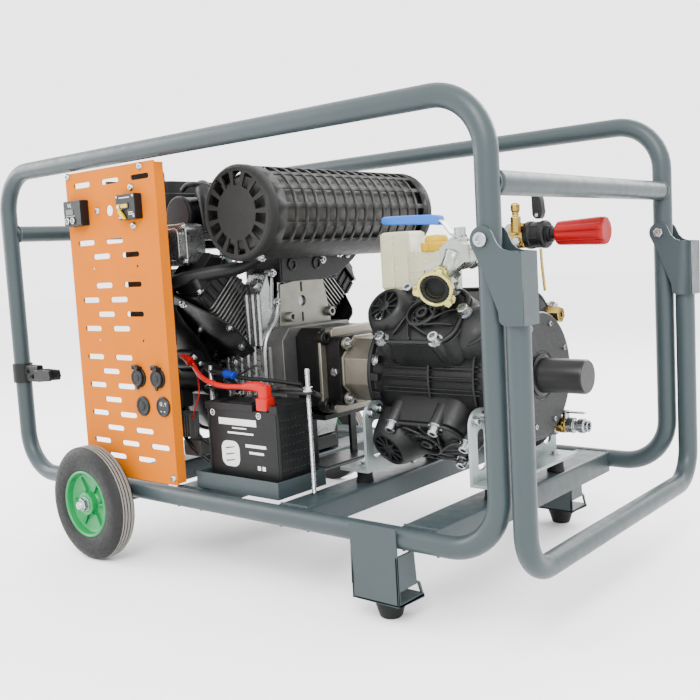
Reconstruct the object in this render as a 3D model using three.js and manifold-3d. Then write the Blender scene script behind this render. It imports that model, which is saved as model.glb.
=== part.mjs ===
// Engine-driven cold-water pressure washer in a wheeled tube frame.
// Millimetres, +Z up. X runs along the frame towards the pump, Y across it, Z = 0 is the ground.
import * as THREE from 'three';
import { mergeVertices } from 'three/addons/utils/BufferGeometryUtils.js';
import Module from 'manifold-3d';

const wasm = await Module();
wasm.setup();

// ---------------------------------------------------------------- driving dimensions
const GAP = 0.3;                 // clearance between pieces that touch
const TUBE_R = 16;               // frame tube radius
const HALF_LENGTH = 555.5;       // upright centrelines of each loop
const HALF_WIDTH = 291.6;        // centre planes of the two loops
const LOW_Z = 128.7;             // bottom tube centreline
const HIGH_Z = 728.7;            // top tube centreline
const BEND_R = 80;               // loop corner bends
const CROSS_TUBE_Z = 611;
const RAIL = { width: 63, top: 144, bottom: 106, wall: 4 };
const RAIL_X = { wheels: -281, engine: -75, gearbox: 174.5, pump: 417.5 };
const WHEEL = { x: -281, r: 105, inner: 316, outer: 358.5, rimR: 61.5, hubR: 21, axleR: 7 };
const PIVOT = { x: HALF_LENGTH, z: 540, pinR: 5 };
const HANDLE = { x: 591.5, low: 107, high: 500, bend: 56 };
const SHAFT_Z = 325;             // crankshaft, gearbox and pump axis
const PANEL = { x0: -337, x1: -80, z0: 150, z1: 708, front: -300, sheet: 2, flange: 20 };
const BATTERY = { x0: -50, x1: 123, y0: -252, y1: -165, z0: 147.6, z1: 295 };
const MUFFLER = { x: 34, z: 611, r: 79, y0: -228, y1: 232 };
const PUMP = { x0: 192, x1: 455, r: 104, headX0: 232, headX1: 392, headHalf: 62, headOut: 152 };
const CRANKCASE = { x0: -150, x1: -40, half: 78, top: 468 };
const FLANGE = { x0: 60, x1: 74, half: 75 };
const REGULATOR = { y: 90, z: 547 };
const VALVE = { x: 380, y: -85, z: 522 };
const OUTLET = { y: 78, z: 230 };

// ---------------------------------------------------------------- solids
/** Turns a closed three.js geometry into a solid that can be joined and cut. */
function solid(geometry) {
  const plain = geometry.index ? geometry.toNonIndexed() : geometry.clone();
  plain.deleteAttribute('normal');
  plain.deleteAttribute('uv');
  const merged = mergeVertices(plain, 1e-3);
  const index = merged.index.array;
  const kept = [];
  for (let i = 0; i < index.length; i += 3) {
    const [a, b, c] = [index[i], index[i + 1], index[i + 2]];
    if (a !== b && b !== c && c !== a) kept.push(a, b, c);
  }
  return new wasm.Manifold(new wasm.Mesh({
    numProp: 3,
    vertProperties: new Float32Array(merged.attributes.position.array),
    triVerts: new Uint32Array(kept),
  }));
}

/** Box from its lowest to its highest corner. */
function box(x0, x1, y0, y1, z0, z1) {
  const geometry = new THREE.BoxGeometry(x1 - x0, y1 - y0, z1 - z0);
  geometry.translate((x0 + x1) / 2, (y0 + y1) / 2, (z0 + z1) / 2);
  return solid(geometry);
}

const TURN_TO_AXIS = { x: [0, 0, -Math.PI / 2], y: [0, 0, 0], z: [Math.PI / 2, 0, 0] };

/** Round bar along an axis, from a to b; the other two coordinates are its centre. */
function rod(axis, radius, a, b, centre, sides = 20, endRadius = radius) {
  const geometry = new THREE.CylinderGeometry(endRadius, radius, b - a, sides);
  geometry.applyMatrix4(new THREE.Matrix4().makeRotationFromEuler(new THREE.Euler(...TURN_TO_AXIS[axis])));
  const middle = (a + b) / 2;
  const place = { x: [middle, ...centre], y: [centre[0], middle, centre[1]],
      z: [...centre, middle] }[axis];
  geometry.translate(...place);
  return solid(geometry);
}

/** Plate with an outline in the X-Z plane, between y0 and y1. */
function plateXZ(shape, y0, y1, curveSegments = 6) {
  const geometry = new THREE.ExtrudeGeometry(shape,
      { depth: y1 - y0, bevelEnabled: false, curveSegments });
  geometry.rotateX(Math.PI / 2);
  geometry.translate(0, y1, 0);
  return solid(geometry);
}

/** Plate with an outline in the Y-Z plane, between x0 and x1. */
function plateYZ(shape, x0, x1, curveSegments = 6) {
  const geometry = new THREE.ExtrudeGeometry(shape,
      { depth: x1 - x0, bevelEnabled: false, curveSegments });
  geometry.applyMatrix4(new THREE.Matrix4().makeBasis(
    new THREE.Vector3(0, 1, 0), new THREE.Vector3(0, 0, 1), new THREE.Vector3(1, 0, 0)));
  geometry.translate(x0, 0, 0);
  return solid(geometry);
}

function outline(points) {
  return new THREE.Shape(points.map(([u, v]) => new THREE.Vector2(u, v)));
}

/** Polyline through given points that ExtrudeGeometry follows with one ring per point. */
class BentPath extends THREE.Curve {
  constructor(points) {
    super();
    this.points = points;
  }
  getSpacedPoints() {
    return this.points;
  }
  getTangentAt(u) {
    const i = Math.round(u * (this.points.length - 1));
    const before = this.points[Math.max(i - 1, 0)];
    const after = this.points[Math.min(i + 1, this.points.length - 1)];
    const here = this.points[i];
    const arriving = here.clone().sub(before).normalize();
    const leaving = after.clone().sub(here).normalize();
    return arriving.add(leaving).normalize();
  }
}

/** Rounds the corners of a polyline with arcs of the given radius. */
function bend(corners, radius, steps = 5) {
  const path = [new THREE.Vector3(...corners[0])];
  for (let i = 1; i < corners.length - 1; i += 1) {
    const corner = new THREE.Vector3(...corners[i]);
    const towardStart = new THREE.Vector3(...corners[i - 1]).sub(corner).normalize();
    const towardEnd = new THREE.Vector3(...corners[i + 1]).sub(corner).normalize();
    const half = towardStart.angleTo(towardEnd) / 2;
    const inward = towardStart.clone().add(towardEnd).normalize();
    const centre = corner.clone().addScaledVector(inward, radius / Math.sin(half));
    const first = corner.clone().addScaledVector(towardStart, radius / Math.tan(half)).sub(centre);
    const last = corner.clone().addScaledVector(towardEnd, radius / Math.tan(half)).sub(centre);
    const normal = new THREE.Vector3().crossVectors(first, last).normalize();
    const sweep = first.angleTo(last);
    for (let k = 0; k <= steps; k += 1) {
      path.push(first.clone().applyAxisAngle(normal, (sweep * k) / steps).add(centre));
    }
  }
  path.push(new THREE.Vector3(...corners[corners.length - 1]));
  return path;
}

/** Round tube or bar that follows a list of points. */
function tube(points, radius, sides = 12) {
  const section = new THREE.Shape();
  for (let k = 0; k < sides; k += 1) {
    const angle = (2 * Math.PI * k) / sides;
    const at = [radius * Math.cos(angle), radius * Math.sin(angle)];
    if (k === 0) section.moveTo(...at);
    else section.lineTo(...at);
  }
  const extrudePath = new BentPath(points);
  return solid(new THREE.ExtrudeGeometry(section, { steps: points.length - 1, extrudePath,
      curveSegments: 1 }));
}

/** Ring or disc turned about an axis along Y from a profile of [radius, y] points. */
function turnedY(profile, x, z, sides = 24) {
  const points = profile.map(([r, y]) => new THREE.Vector2(r, y));
  const geometry = new THREE.LatheGeometry(points, sides);
  geometry.translate(x, 0, z);
  return solid(geometry);
}

// ---------------------------------------------------------------- the scene graph
const washer = new THREE.Group();

const FINISH = {
  frame: { color: 0x66737a, roughness: 0.4, metalness: 0.2 },
  rubber: { color: 0x17181a, roughness: 0.85, metalness: 0 },
  rim: { color: 0x1fa35b, roughness: 0.35, metalness: 0.2 },
  orange: { color: 0xff8a12, roughness: 0.45, metalness: 0.05 },
  black: { color: 0x1d1e20, roughness: 0.55, metalness: 0.1 },
  zinc: { color: 0xc8ccce, roughness: 0.35, metalness: 0.9 },
  cast: { color: 0xb9b7ae, roughness: 0.45, metalness: 0.8 },
  brass: { color: 0xc9a64b, roughness: 0.3, metalness: 0.9 },
  red: { color: 0xd4202a, roughness: 0.35, metalness: 0 },
  blue: { color: 0x2f7fd0, roughness: 0.4, metalness: 0 },
  yellow: { color: 0xe8c21a, roughness: 0.4, metalness: 0 },
  clear: { color: 0xe9e7c4, roughness: 0.25, metalness: 0 },
};

/** Adds one named piece to the assembly. */
function piece(name, body, finish) {
  const { vertProperties, triVerts } = body.getMesh();
  const geometry = new THREE.BufferGeometry();
  geometry.setAttribute('position', new THREE.BufferAttribute(new Float32Array(vertProperties), 3));
  geometry.setIndex(new THREE.BufferAttribute(new Uint32Array(triVerts), 1));
  geometry.computeVertexNormals();
  const mesh = new THREE.Mesh(geometry, new THREE.MeshStandardMaterial(FINISH[finish]));
  mesh.name = name;
  washer.add(mesh);
}

const ENDS = [['front', -1], ['rear', 1]];

// ---------------------------------------------------------------- tube frame
/** Half of a loop, as one bent tube; side is +1 towards the pump and -1 towards the wheels. */
function halfLoop(side, y) {
  const x = side * HALF_LENGTH;
  const lap = -side;
  return tube(bend([[lap, y, LOW_Z], [x, y, LOW_Z], [x, y, HIGH_Z], [lap, y, HIGH_Z]], BEND_R), TUBE_R);
}

for (const [end, side] of ENDS) {
  const y = side * HALF_WIDTH;
  const pinHole = rod('y', PIVOT.pinR + 0.8, y - 2 * TUBE_R, y + 2 * TUBE_R, [PIVOT.x, PIVOT.z], 12);
  piece(`frame_loop_${end}`, halfLoop(1, y).add(halfLoop(-1, y)).subtract(pinHole), 'frame');
}

const BETWEEN_LOOPS = HALF_WIDTH - TUBE_R - GAP;
for (const [name, x] of [['cross_tube_left', -HALF_LENGTH], ['cross_tube_right', HALF_LENGTH]]) {
  piece(name, rod('y', TUBE_R, -BETWEEN_LOOPS, BETWEEN_LOOPS, [x, CROSS_TUBE_Z], 12), 'frame');
}

/** Channel rail that is open underneath and runs from loop to loop. */
function rail(x) {
  const half = RAIL.width / 2;
  const inner = half - RAIL.wall;
  return plateXZ(outline([
    [x - half, RAIL.bottom], [x - inner, RAIL.bottom], [x - inner, RAIL.top - RAIL.wall],
    [x + inner, RAIL.top - RAIL.wall], [x + inner, RAIL.bottom], [x + half, RAIL.bottom],
    [x + half, RAIL.top], [x - half, RAIL.top],
  ]), -BETWEEN_LOOPS, BETWEEN_LOOPS);
}

/** Block inside the wheel rail that carries the axle. */
function axleBlock(y) {
  const thick = 12;
  const body = box(WHEEL.x - 14, WHEEL.x + 14, y - thick, y + thick, 90, RAIL.top - 1);
  return body.subtract(rod('y', WHEEL.axleR + GAP, y - 20, y + 20, [WHEEL.x, WHEEL.r], 16));
}

piece('rail_wheels', rail(RAIL_X.wheels).add(axleBlock(-240)).add(axleBlock(240)), 'frame');
piece('rail_engine', rail(RAIL_X.engine), 'frame');
piece('rail_gearbox', rail(RAIL_X.gearbox), 'frame');
piece('rail_pump', rail(RAIL_X.pump), 'frame');

// Legs: folded plate with two side flanges and a sole that the rubber foot is bolted to.
const LEG = { x0: 313, x1: 397, sheet: 3.5, sole: 33, depth: 56, footX: 353 };
const UNDER_RAIL = RAIL.bottom - GAP;
for (const [end, plateY, plateTop, footY] of [['front', -311.4, 147, -273],
    ['rear', 229, UNDER_RAIL, 271]]) {
  const plate = box(LEG.x0, LEG.x1, plateY, plateY + LEG.sheet, LEG.sole, plateTop);
  const sole = box(LEG.x0, LEG.x1, plateY, plateY + LEG.depth + 6, LEG.sole, LEG.sole + LEG.sheet);
  const flangeShape = outline([
    [plateY, LEG.sole], [plateY + LEG.depth + 6, LEG.sole], [plateY + LEG.depth - 10, LEG.sole + 26],
    [plateY + LEG.depth - 14, UNDER_RAIL], [plateY, UNDER_RAIL],
  ]);
  let leg = plate.add(sole);
  for (const x of [LEG.x0, LEG.x1 - LEG.sheet]) leg = leg.add(plateYZ(flangeShape, x, x + LEG.sheet));
  const slot = box(LEG.x1 - 10, LEG.x1 + 5, plateY + 12, plateY + 48, LEG.sole + 6, LEG.sole + 20);
  piece(`leg_${end}`, leg.subtract(slot), 'frame');
  const foot = rod('z', 16, 0, LEG.sole - GAP, [LEG.footX, footY], 20, 25);
  piece(`rubber_foot_${end}`, foot, 'rubber');
}

// ---------------------------------------------------------------- wheels
/** Mirrors a profile from the front side (negative Y) to the rear. */
function sided(profile, side) {
  const mirrored = profile.map(([r, y]) => [r, side * y]);
  return side < 0 ? mirrored.reverse() : mirrored;
}

for (const [end, side] of ENDS) {
  const { r, inner, outer, rimR, hubR, axleR, x } = WHEEL;
  const tyre = [
    [rimR + GAP, inner + 4], [r - 14, inner], [r - 3, inner + 7], [r, inner + 14],
    [r, outer - 14], [r - 3, outer - 7], [r - 14, outer], [rimR + GAP, outer - 4],
    [rimR + GAP, inner + 4],
  ];
  piece(`tyre_${end}`, turnedY(sided(tyre, side), x, r), 'rubber');
  const bore = axleR + GAP;
  const rim = [
    [bore, inner + 1], [hubR, inner + 1], [hubR, inner + 17], [rimR - 7, inner + 17], [rimR, inner + 5],
    [rimR, outer - 5], [rimR - 11, inner + 22], [hubR, inner + 22], [hubR, outer - 4],
    [bore, outer - 4],
    [bore, inner + 1],
  ];
  piece(`rim_${end}`, turnedY(sided(rim, side), x, r), 'rim');
}

/** Collar inside a wheel and the domed nut outside it, both on the axle. */
function axleEnd(side) {
  const collar = [WHEEL.inner - 6, WHEEL.inner + 1 - GAP];
  const nut = [WHEEL.outer - 4 + GAP, WHEEL.outer + 6];
  const spans = [collar, nut].map(([a, b]) => (side > 0 ? [a, b] : [-b, -a]));
  const ring = rod('y', 12, ...spans[0], [WHEEL.x, WHEEL.r], 12);
  return ring.add(rod('y', 12, ...spans[1], [WHEEL.x, WHEEL.r], 6));
}
const axleHalf = WHEEL.outer + 12;
const axle = rod('y', WHEEL.axleR, -axleHalf, axleHalf, [WHEEL.x, WHEEL.r], 16);
piece('wheel_axle', axle.add(axleEnd(-1)).add(axleEnd(1)), 'zinc');

// ---------------------------------------------------------------- fold-down handle
piece('handle_tube', tube(bend([
  [HANDLE.x, -HALF_WIDTH, HANDLE.high], [HANDLE.x, -HALF_WIDTH, HANDLE.low],
  [HANDLE.x, HALF_WIDTH, HANDLE.low], [HANDLE.x, HALF_WIDTH, HANDLE.high],
], HANDLE.bend), TUBE_R), 'frame');

const BRACKET_REACH = 55.5;
/** Side plate of a handle bracket: a round head on the pivot and a skirt beside the handle tube. */
function bracketPlate(y0, y1) {
  const head = 17;
  const skirtLow = PIVOT.z - 108;
  const shape = new THREE.Shape();
  shape.moveTo(PIVOT.x - 15.4, PIVOT.z - 7);
  shape.lineTo(PIVOT.x - 3, PIVOT.z - 32);
  shape.lineTo(PIVOT.x + 22, PIVOT.z - 97);
  shape.lineTo(PIVOT.x + 27, skirtLow);
  shape.lineTo(PIVOT.x + BRACKET_REACH, skirtLow);
  shape.lineTo(PIVOT.x + BRACKET_REACH, PIVOT.z - 17);
  shape.lineTo(PIVOT.x + 33, PIVOT.z - 14.5);
  shape.lineTo(PIVOT.x + 22, PIVOT.z - 8);
  shape.lineTo(PIVOT.x + 16, PIVOT.z + 6);
  shape.absarc(PIVOT.x, PIVOT.z, head, Math.atan2(6, 16), Math.PI + Math.atan2(7, 15.4), false);
  return plateXZ(shape, y0, y1, 8);
}

for (const [end, side] of ENDS) {
  const outer = HALF_WIDTH + TUBE_R + 1.4;
  const inner = HALF_WIDTH - TUBE_R - 1.4;
  const sheet = 3;
  const span = (a, b) => (side > 0 ? [a, b] : [-b, -a]);
  const web = box(PIVOT.x + BRACKET_REACH - sheet, PIVOT.x + BRACKET_REACH,
      ...span(inner - 1, outer + 1), PIVOT.z - 108, PIVOT.z - 17);
  const pin = rod('y', PIVOT.pinR, ...span(inner - sheet - 8, outer + sheet + 3), [PIVOT.x, PIVOT.z],
      12);
  const boltHead = rod('y', 9, ...span(outer + sheet - 0.5, outer + sheet + 6), [PIVOT.x, PIVOT.z], 12);
  const bracket = bracketPlate(...span(outer, outer + sheet)).add(bracketPlate(...span(inner - sheet,
      inner)));
  piece(`handle_bracket_${end}`, bracket.add(web).add(pin).add(boltHead), 'frame');
}

// Holder for the spray lance on the near upright.
const CLIP_Z = 330;
const CLAMP_WALL = 4;
const clampBand = rod('z', TUBE_R + CLAMP_WALL, CLIP_Z - 20, CLIP_Z + 20, [-HALF_LENGTH, -HALF_WIDTH],
    16)
  .subtract(rod('z', TUBE_R + 0.6, CLIP_Z - 30, CLIP_Z + 30, [-HALF_LENGTH, -HALF_WIDTH], 16));
const clipArm = box(-HALF_LENGTH + 18, -HALF_LENGTH + 62, -HALF_WIDTH - 8, -HALF_WIDTH + 8,
    CLIP_Z - 20, CLIP_Z + 20);
const clipFork = box(-HALF_LENGTH + 60, -HALF_LENGTH + 116, -HALF_WIDTH - 13, -HALF_WIDTH + 13,
    CLIP_Z - 15, CLIP_Z + 9);
const clipJaw = box(-HALF_LENGTH + 76, -HALF_LENGTH + 120, -HALF_WIDTH - 7, -HALF_WIDTH + 7,
    CLIP_Z - 20, CLIP_Z + 20);
piece('lance_clip', clampBand.add(clipArm).add(clipFork).subtract(clipJaw), 'black');

// ---------------------------------------------------------------- control panel
const SLOT = { length: 49, height: 9, firstZ: 188, pitch: 26.1, rows: 20 };
const WIDE_ROW = [-288, -204, -120];
const NARROW_ROW = [-245, -161];
const ROUND_HOLE_ROWS = [8, 13];
/** Slot with half-round ends. */
function slotShape(x, z) {
  const r = SLOT.height / 2;
  const half = SLOT.length / 2 - r;
  const shape = new THREE.Path();
  shape.moveTo(x - half, z - r);
  shape.lineTo(x + half, z - r);
  shape.absarc(x + half, z, r, -Math.PI / 2, Math.PI / 2, false);
  shape.lineTo(x - half, z + r);
  shape.absarc(x - half, z, r, Math.PI / 2, 1.5 * Math.PI, false);
  return shape;
}

const DISPLAY = { x0: -327, x1: -272, z0: 611, z1: 657, out: 18 };
const BREAKER = { x0: -170, x1: -118, z0: 613, z1: 656, out: 16 };
const SOCKETS = [['left', -161.4, 337], ['right', -109, 337]];
const SOCKET_R = 17.5;
const panelOutline = outline([
  [PANEL.x0, PANEL.z0], [PANEL.x1, PANEL.z0], [PANEL.x1, PANEL.z1], [PANEL.x0, PANEL.z1],
]);
for (let row = 0; row < SLOT.rows; row += 1) {
  const z = SLOT.firstZ + row * SLOT.pitch;
  for (const x of row % 2 ? WIDE_ROW : NARROW_ROW) {
    const besideDevices = z > 590 && z < 675;
    const underSockets = x > -200 && z > 255 && z < 370;
    const solidRight = x > -130 && z > 220 && z < 675;
    if (besideDevices || underSockets || solidRight || ROUND_HOLE_ROWS.includes(row)) continue;
    panelOutline.holes.push(slotShape(x, z));
  }
}
let panel = plateXZ(panelOutline, PANEL.front, PANEL.front + PANEL.sheet, 2);
for (const x of [PANEL.x0, PANEL.x1 - PANEL.sheet]) {
  panel = panel.add(box(x, x + PANEL.sheet, PANEL.front, PANEL.front + PANEL.flange, PANEL.z0 + 12,
      PANEL.z1 - 12));
}
for (const [, x, z] of SOCKETS) {
  panel = panel.subtract(rod('y', SOCKET_R - 3, PANEL.front - 5, PANEL.front + 5, [x, z], 20));
}
piece('control_panel', panel, 'orange');

const FACE = PANEL.front - GAP;
const METER_BUTTON = { r: 6, xs: [['left', -314], ['right', -298]], z: 621, deep: 7 };
let meter = box(DISPLAY.x0, DISPLAY.x1, FACE - DISPLAY.out, FACE, DISPLAY.z0, DISPLAY.z1);
const meterFront = FACE - DISPLAY.out;
for (const [side, x] of METER_BUTTON.xs) {
  meter = meter.subtract(rod('y', METER_BUTTON.r + 0.5, meterFront - 2, meterFront + METER_BUTTON.deep,
    [x, METER_BUTTON.z], 16));
  const button = rod('y', METER_BUTTON.r, meterFront - 1.6, meterFront + METER_BUTTON.deep - 2,
      [x, METER_BUTTON.z], 16);
  piece(`meter_button_${side}`, button, 'zinc');
}
piece('hour_meter', meter, 'black');

// Circuit breaker: a trip button in its face and a reset lever that swings out of its left side.
const breakerFront = FACE - BREAKER.out;
const TRIP = { x: -146, z: 636, half: 10, high: 3.5, deep: 9 };
const LEVER_PIVOT = { x: -163, z: 635 };
const LEVER_SPACE = { x0: -172, x1: -140, z0: 611, z1: 630 };
const tripHole = box(TRIP.x - TRIP.half - 0.6, TRIP.x + TRIP.half + 0.6, breakerFront - 2,
    breakerFront + TRIP.deep,
  TRIP.z - TRIP.high - 0.6, TRIP.z + TRIP.high + 0.6);
const leverSpace = box(BREAKER.x0 - 2, LEVER_SPACE.x1, breakerFront - 2, breakerFront + 6,
    LEVER_SPACE.z0, LEVER_SPACE.z1);
const leverSideSpace = box(BREAKER.x0 - 2, LEVER_PIVOT.x, breakerFront - 2, breakerFront + 6,
    LEVER_SPACE.z0, LEVER_PIVOT.z + 2);
const leverPin = rod('y', 3, breakerFront - 1, breakerFront + 12, [LEVER_PIVOT.x, LEVER_PIVOT.z], 12);
const leverPinHole = rod('y', 8, breakerFront - 2, breakerFront + 12, [LEVER_PIVOT.x, LEVER_PIVOT.z],
    16);
piece('circuit_breaker', box(BREAKER.x0, BREAKER.x1, breakerFront, FACE, BREAKER.z0, BREAKER.z1)
  .subtract(tripHole).subtract(leverSpace).subtract(leverSideSpace).subtract(leverPinHole), 'black');
piece('trip_button', box(TRIP.x - TRIP.half, TRIP.x + TRIP.half, breakerFront - 1.8,
    breakerFront + TRIP.deep - 2.5,
  TRIP.z - TRIP.high, TRIP.z + TRIP.high), 'yellow');
const leverBlade = plateXZ(outline([
  [LEVER_PIVOT.x - 3, LEVER_PIVOT.z - 3], [LEVER_PIVOT.x + 3, LEVER_PIVOT.z - 4],
  [LEVER_PIVOT.x + 19, LEVER_PIVOT.z - 18],
  [LEVER_PIVOT.x + 14, LEVER_PIVOT.z - 21], [LEVER_PIVOT.x + 4, LEVER_PIVOT.z - 19],
  [LEVER_PIVOT.x - 5, LEVER_PIVOT.z - 8],
]), breakerFront + 0.5, breakerFront + 5);
piece('breaker_lever', leverPin.add(rod('y', 6, breakerFront + 0.5, breakerFront + 5,
    [LEVER_PIVOT.x, LEVER_PIVOT.z], 16))
  .add(leverBlade), 'yellow');

// Round power sockets with spring covers hinged along their tops.
const COVER = { hingeUp: 21, hingeOut: 9, r: 15.2, thick: 4 };
for (const [side, x, z] of SOCKETS) {
  const flange = rod('y', SOCKET_R, FACE - 4, FACE, [x, z], 20);
  const barrel = rod('y', SOCKET_R - 4, FACE - 2, FACE + 34, [x, z], 14);
  const bore = rod('y', 10.5, FACE - 6, FACE + 26, [x, z], 12);
  const ear = (dx) => box(x + dx - 1.5, x + dx + 1.5, FACE - COVER.hingeOut - 2.5, FACE, z + 15,
      z + COVER.hingeUp + 2.5);
  const hingePin = rod('x', 1.2, x - 6.5, x + 6.5, [FACE - COVER.hingeOut, z + COVER.hingeUp], 8);
  piece(`socket_${side}`, flange.add(barrel).add(ear(-6.5)).add(ear(6.5)).add(hingePin).subtract(bore),
      'black');
  const lid = rod('y', COVER.r, FACE - 4.6 - COVER.thick, FACE - 4.6, [x, z], 20);
  const tab = box(x - 3, x + 3, FACE - 4.6 - COVER.thick, FACE - 4.6 - 1, z - 21, z - 15);
  const knuckle = rod('x', 3, x - 4.4, x + 4.4, [FACE - COVER.hingeOut, z + COVER.hingeUp], 12);
  const strap = box(x - 4.4, x + 4.4, FACE - COVER.hingeOut - 1.5, FACE - COVER.hingeOut + 1.5, z + 14,
      z + COVER.hingeUp);
  const pinBore = rod('x', 1.8, x - 9, x + 9, [FACE - COVER.hingeOut, z + COVER.hingeUp], 12);
  const cover = lid.add(tab).add(knuckle).add(strap).subtract(pinBore);
  piece(`socket_cover_${side}`, cover, 'black');
}

// ---------------------------------------------------------------- battery
const TRAY = { x0: -62, x1: 135, y0: -272, y1: -155, z0: RAIL.top + GAP, lip: 173, sheet: 3 };
piece('battery_tray', box(TRAY.x0, TRAY.x1, TRAY.y0, TRAY.y1, TRAY.z0, TRAY.lip)
  .subtract(box(TRAY.x0 + TRAY.sheet, TRAY.x1 - TRAY.sheet, TRAY.y0 + TRAY.sheet, TRAY.y1 - TRAY.sheet,
    TRAY.z0 + TRAY.sheet, TRAY.lip + 5)), 'frame');

const POSITIVE = { x: 84, y: -238 };
const NEGATIVE = { x: -30, y: -186 };
let battery = box(BATTERY.x0, BATTERY.x1, BATTERY.y0, BATTERY.y1, BATTERY.z0, BATTERY.z1);
for (const terminal of [POSITIVE, NEGATIVE]) {
  battery = battery.add(box(terminal.x - 8, terminal.x + 8, terminal.y - 7, terminal.y + 7,
      BATTERY.z1 - 1, BATTERY.z1 + 7));
}
piece('battery', battery, 'black');

const HOLDDOWN = { left: -74, right: 158, y: -212, z: 310 };
const strap = box(HOLDDOWN.left - 12, HOLDDOWN.right + 12, HOLDDOWN.y - 9, HOLDDOWN.y + 9, HOLDDOWN.z,
    HOLDDOWN.z + 5);
const studs = [HOLDDOWN.left, HOLDDOWN.right].map((x) => rod('z', 4, RAIL.top + GAP, 348,
    [x, HOLDDOWN.y], 10));
const nuts = [HOLDDOWN.left, HOLDDOWN.right].map((x) => rod('z', 7.5, HOLDDOWN.z + 4, HOLDDOWN.z + 12,
    [x, HOLDDOWN.y], 6));
piece('battery_holddown', [...studs, ...nuts].reduce((all, part) => all.add(part), strap), 'black');

const cablePoints = [
  [-128, -206, 352], [-108, -218, 344], [-80, -232, 334], [-45, -243, 326], [-8, -246, 321],
  [30, -244, 321],
  [62, -240, 322], [POSITIVE.x, POSITIVE.y, 319],
].map((at) => new THREE.Vector3(...at));
const cableCurve = new THREE.CatmullRomCurve3(cablePoints);
const boot = box(POSITIVE.x - 11, POSITIVE.x + 11, POSITIVE.y - 9, POSITIVE.y + 9,
    BATTERY.z1 + 7 + GAP, 328);
piece('battery_cable', tube(cableCurve.getSpacedPoints(22), 4.5, 8).add(boot), 'red');

// ---------------------------------------------------------------- engine
const CRANK = { r: 14, fanX: -262, fanR: 92, endX: 52 };
const crankHole = (x0, x1, r = CRANK.r + 1) => rod('x', r, x0, x1, [0, SHAFT_Z], 24);
const caseShape = outline([
  [-70, 175], [70, 175], [CRANKCASE.half + 22, 230], [CRANKCASE.half + 22, 330], [70, 410],
  [58, CRANKCASE.top],
  [-58, CRANKCASE.top], [-70, 410], [-CRANKCASE.half - 22, 330], [-CRANKCASE.half - 22, 230],
]);
const caseBody = plateYZ(caseShape, CRANKCASE.x0, CRANKCASE.x1)
  .add(box(CRANKCASE.x0, -44, -60, 60, 146, 180))
  .add(box(-112, -44, -100, 100, RAIL.top + GAP, 152))
  .subtract(crankHole(CRANKCASE.x0 + 12, CRANKCASE.x1 - 12, 62))
  .subtract(crankHole(CRANKCASE.x0 - 5, CRANKCASE.x1 + 5));
piece('crankcase', caseBody, 'cast');

const webs = rod('x', 54, -112, -100, [0, SHAFT_Z], 16).add(rod('x', 54, -88, -76, [0, SHAFT_Z], 16))
  .add(rod('x', 13, -102, -86, [0, SHAFT_Z + 33], 12));
piece('crankshaft', rod('x', CRANK.r, CRANK.fanX, CRANK.endX, [0, SHAFT_Z], 16)
  .add(rod('x', CRANK.fanR, CRANK.fanX, CRANK.fanX + 22, [0, SHAFT_Z], 24)).add(webs), 'zinc');

// Cylinders: heights are along the cylinder's own axis, from the crankshaft outwards.
const CYLINDER = { x: -102, half: 47, foot: 104, top: 226, coverTop: 296, fins: 9, firstFin: 116 };

/** Finned cylinder and head; the stack leans out of the crankcase by 45 degrees. */
function cylinder(side) {
  const { x, half, foot, top, coverTop, fins, firstFin } = CYLINDER;
  const finDepth = 4, finPitch = 13, headDepth = 36;
  let body = box(x - 34, x + 34, -38, 38, foot, top);
  for (let fin = 0; fin < fins; fin += 1) {
    const z = firstFin + fin * finPitch;
    body = body.add(box(x - half, x + half, -54, 54, z, z + finDepth));
  }
  const headTop = top - 4 + headDepth;
  const head = box(x - half, x + half, -52, 52, top - 4, headTop);
  const cover = box(x - 40, x + 36, -42, 42, headTop - 1, coverTop);
  return body.add(head).add(cover).rotate([side > 0 ? -45 : 45, 0, 0]).translate([0, 0, SHAFT_Z]);
}
const outsideCase = plateYZ(outline([
  [-82, 150], [82, 150], [CRANKCASE.half + 23, 225], [CRANKCASE.half + 23, 331], [71, 411],
  [59, CRANKCASE.top + 1],
  [-59, CRANKCASE.top + 1], [-71, 411], [-CRANKCASE.half - 23, 331], [-CRANKCASE.half - 23, 225],
]), -400, 400);
piece('cylinder_front', cylinder(-1).subtract(outsideCase), 'cast');
piece('cylinder_rear', cylinder(1).subtract(outsideCase), 'cast');

// Blower housing: covers the flywheel fan and feeds air to both cylinders.
const BLOWER = { x0: -278, x1: CRANKCASE.x0 - GAP, wall: 4 };
const blowerShape = (inset) => outline([
  [-70, 190 + inset], [70, 190 + inset], [128 - inset, 250], [136 - inset, 360], [235 - inset, 462],
  [160 - inset, 540 - inset], [60, 470 - inset], [-60, 470 - inset], [-160 + inset, 540 - inset],
  [-235 + inset, 462],
  [-136 + inset, 360], [-128 + inset, 250],
]);
const blower = plateYZ(blowerShape(0), BLOWER.x0, BLOWER.x1)
  .subtract(plateYZ(blowerShape(BLOWER.wall), BLOWER.x0 + BLOWER.wall, BLOWER.x1 + 5))
  .subtract(crankHole(BLOWER.x0 - 5, BLOWER.x0 + 10, 70));
piece('blower_housing', blower, 'black');

piece('air_cleaner', box(-228, -58, -120, 120, 575, 672)
  .add(rod('x', 26, -59, -48.5, [-84, 640], 16)).add(box(-150, -110, -40, 40, 475, 576)), 'black');

const muffler = rod('y', MUFFLER.r - 11, MUFFLER.y0 + 14, MUFFLER.y1 - 12, [MUFFLER.x, MUFFLER.z], 24);
piece('muffler', muffler, 'black');

// Plate that hangs below the guard in front of the crankcase.
const BRACKET = { x0: -35, x1: -29, y0: -58, y1: 180, z0: 490, z1: 572 };

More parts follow.
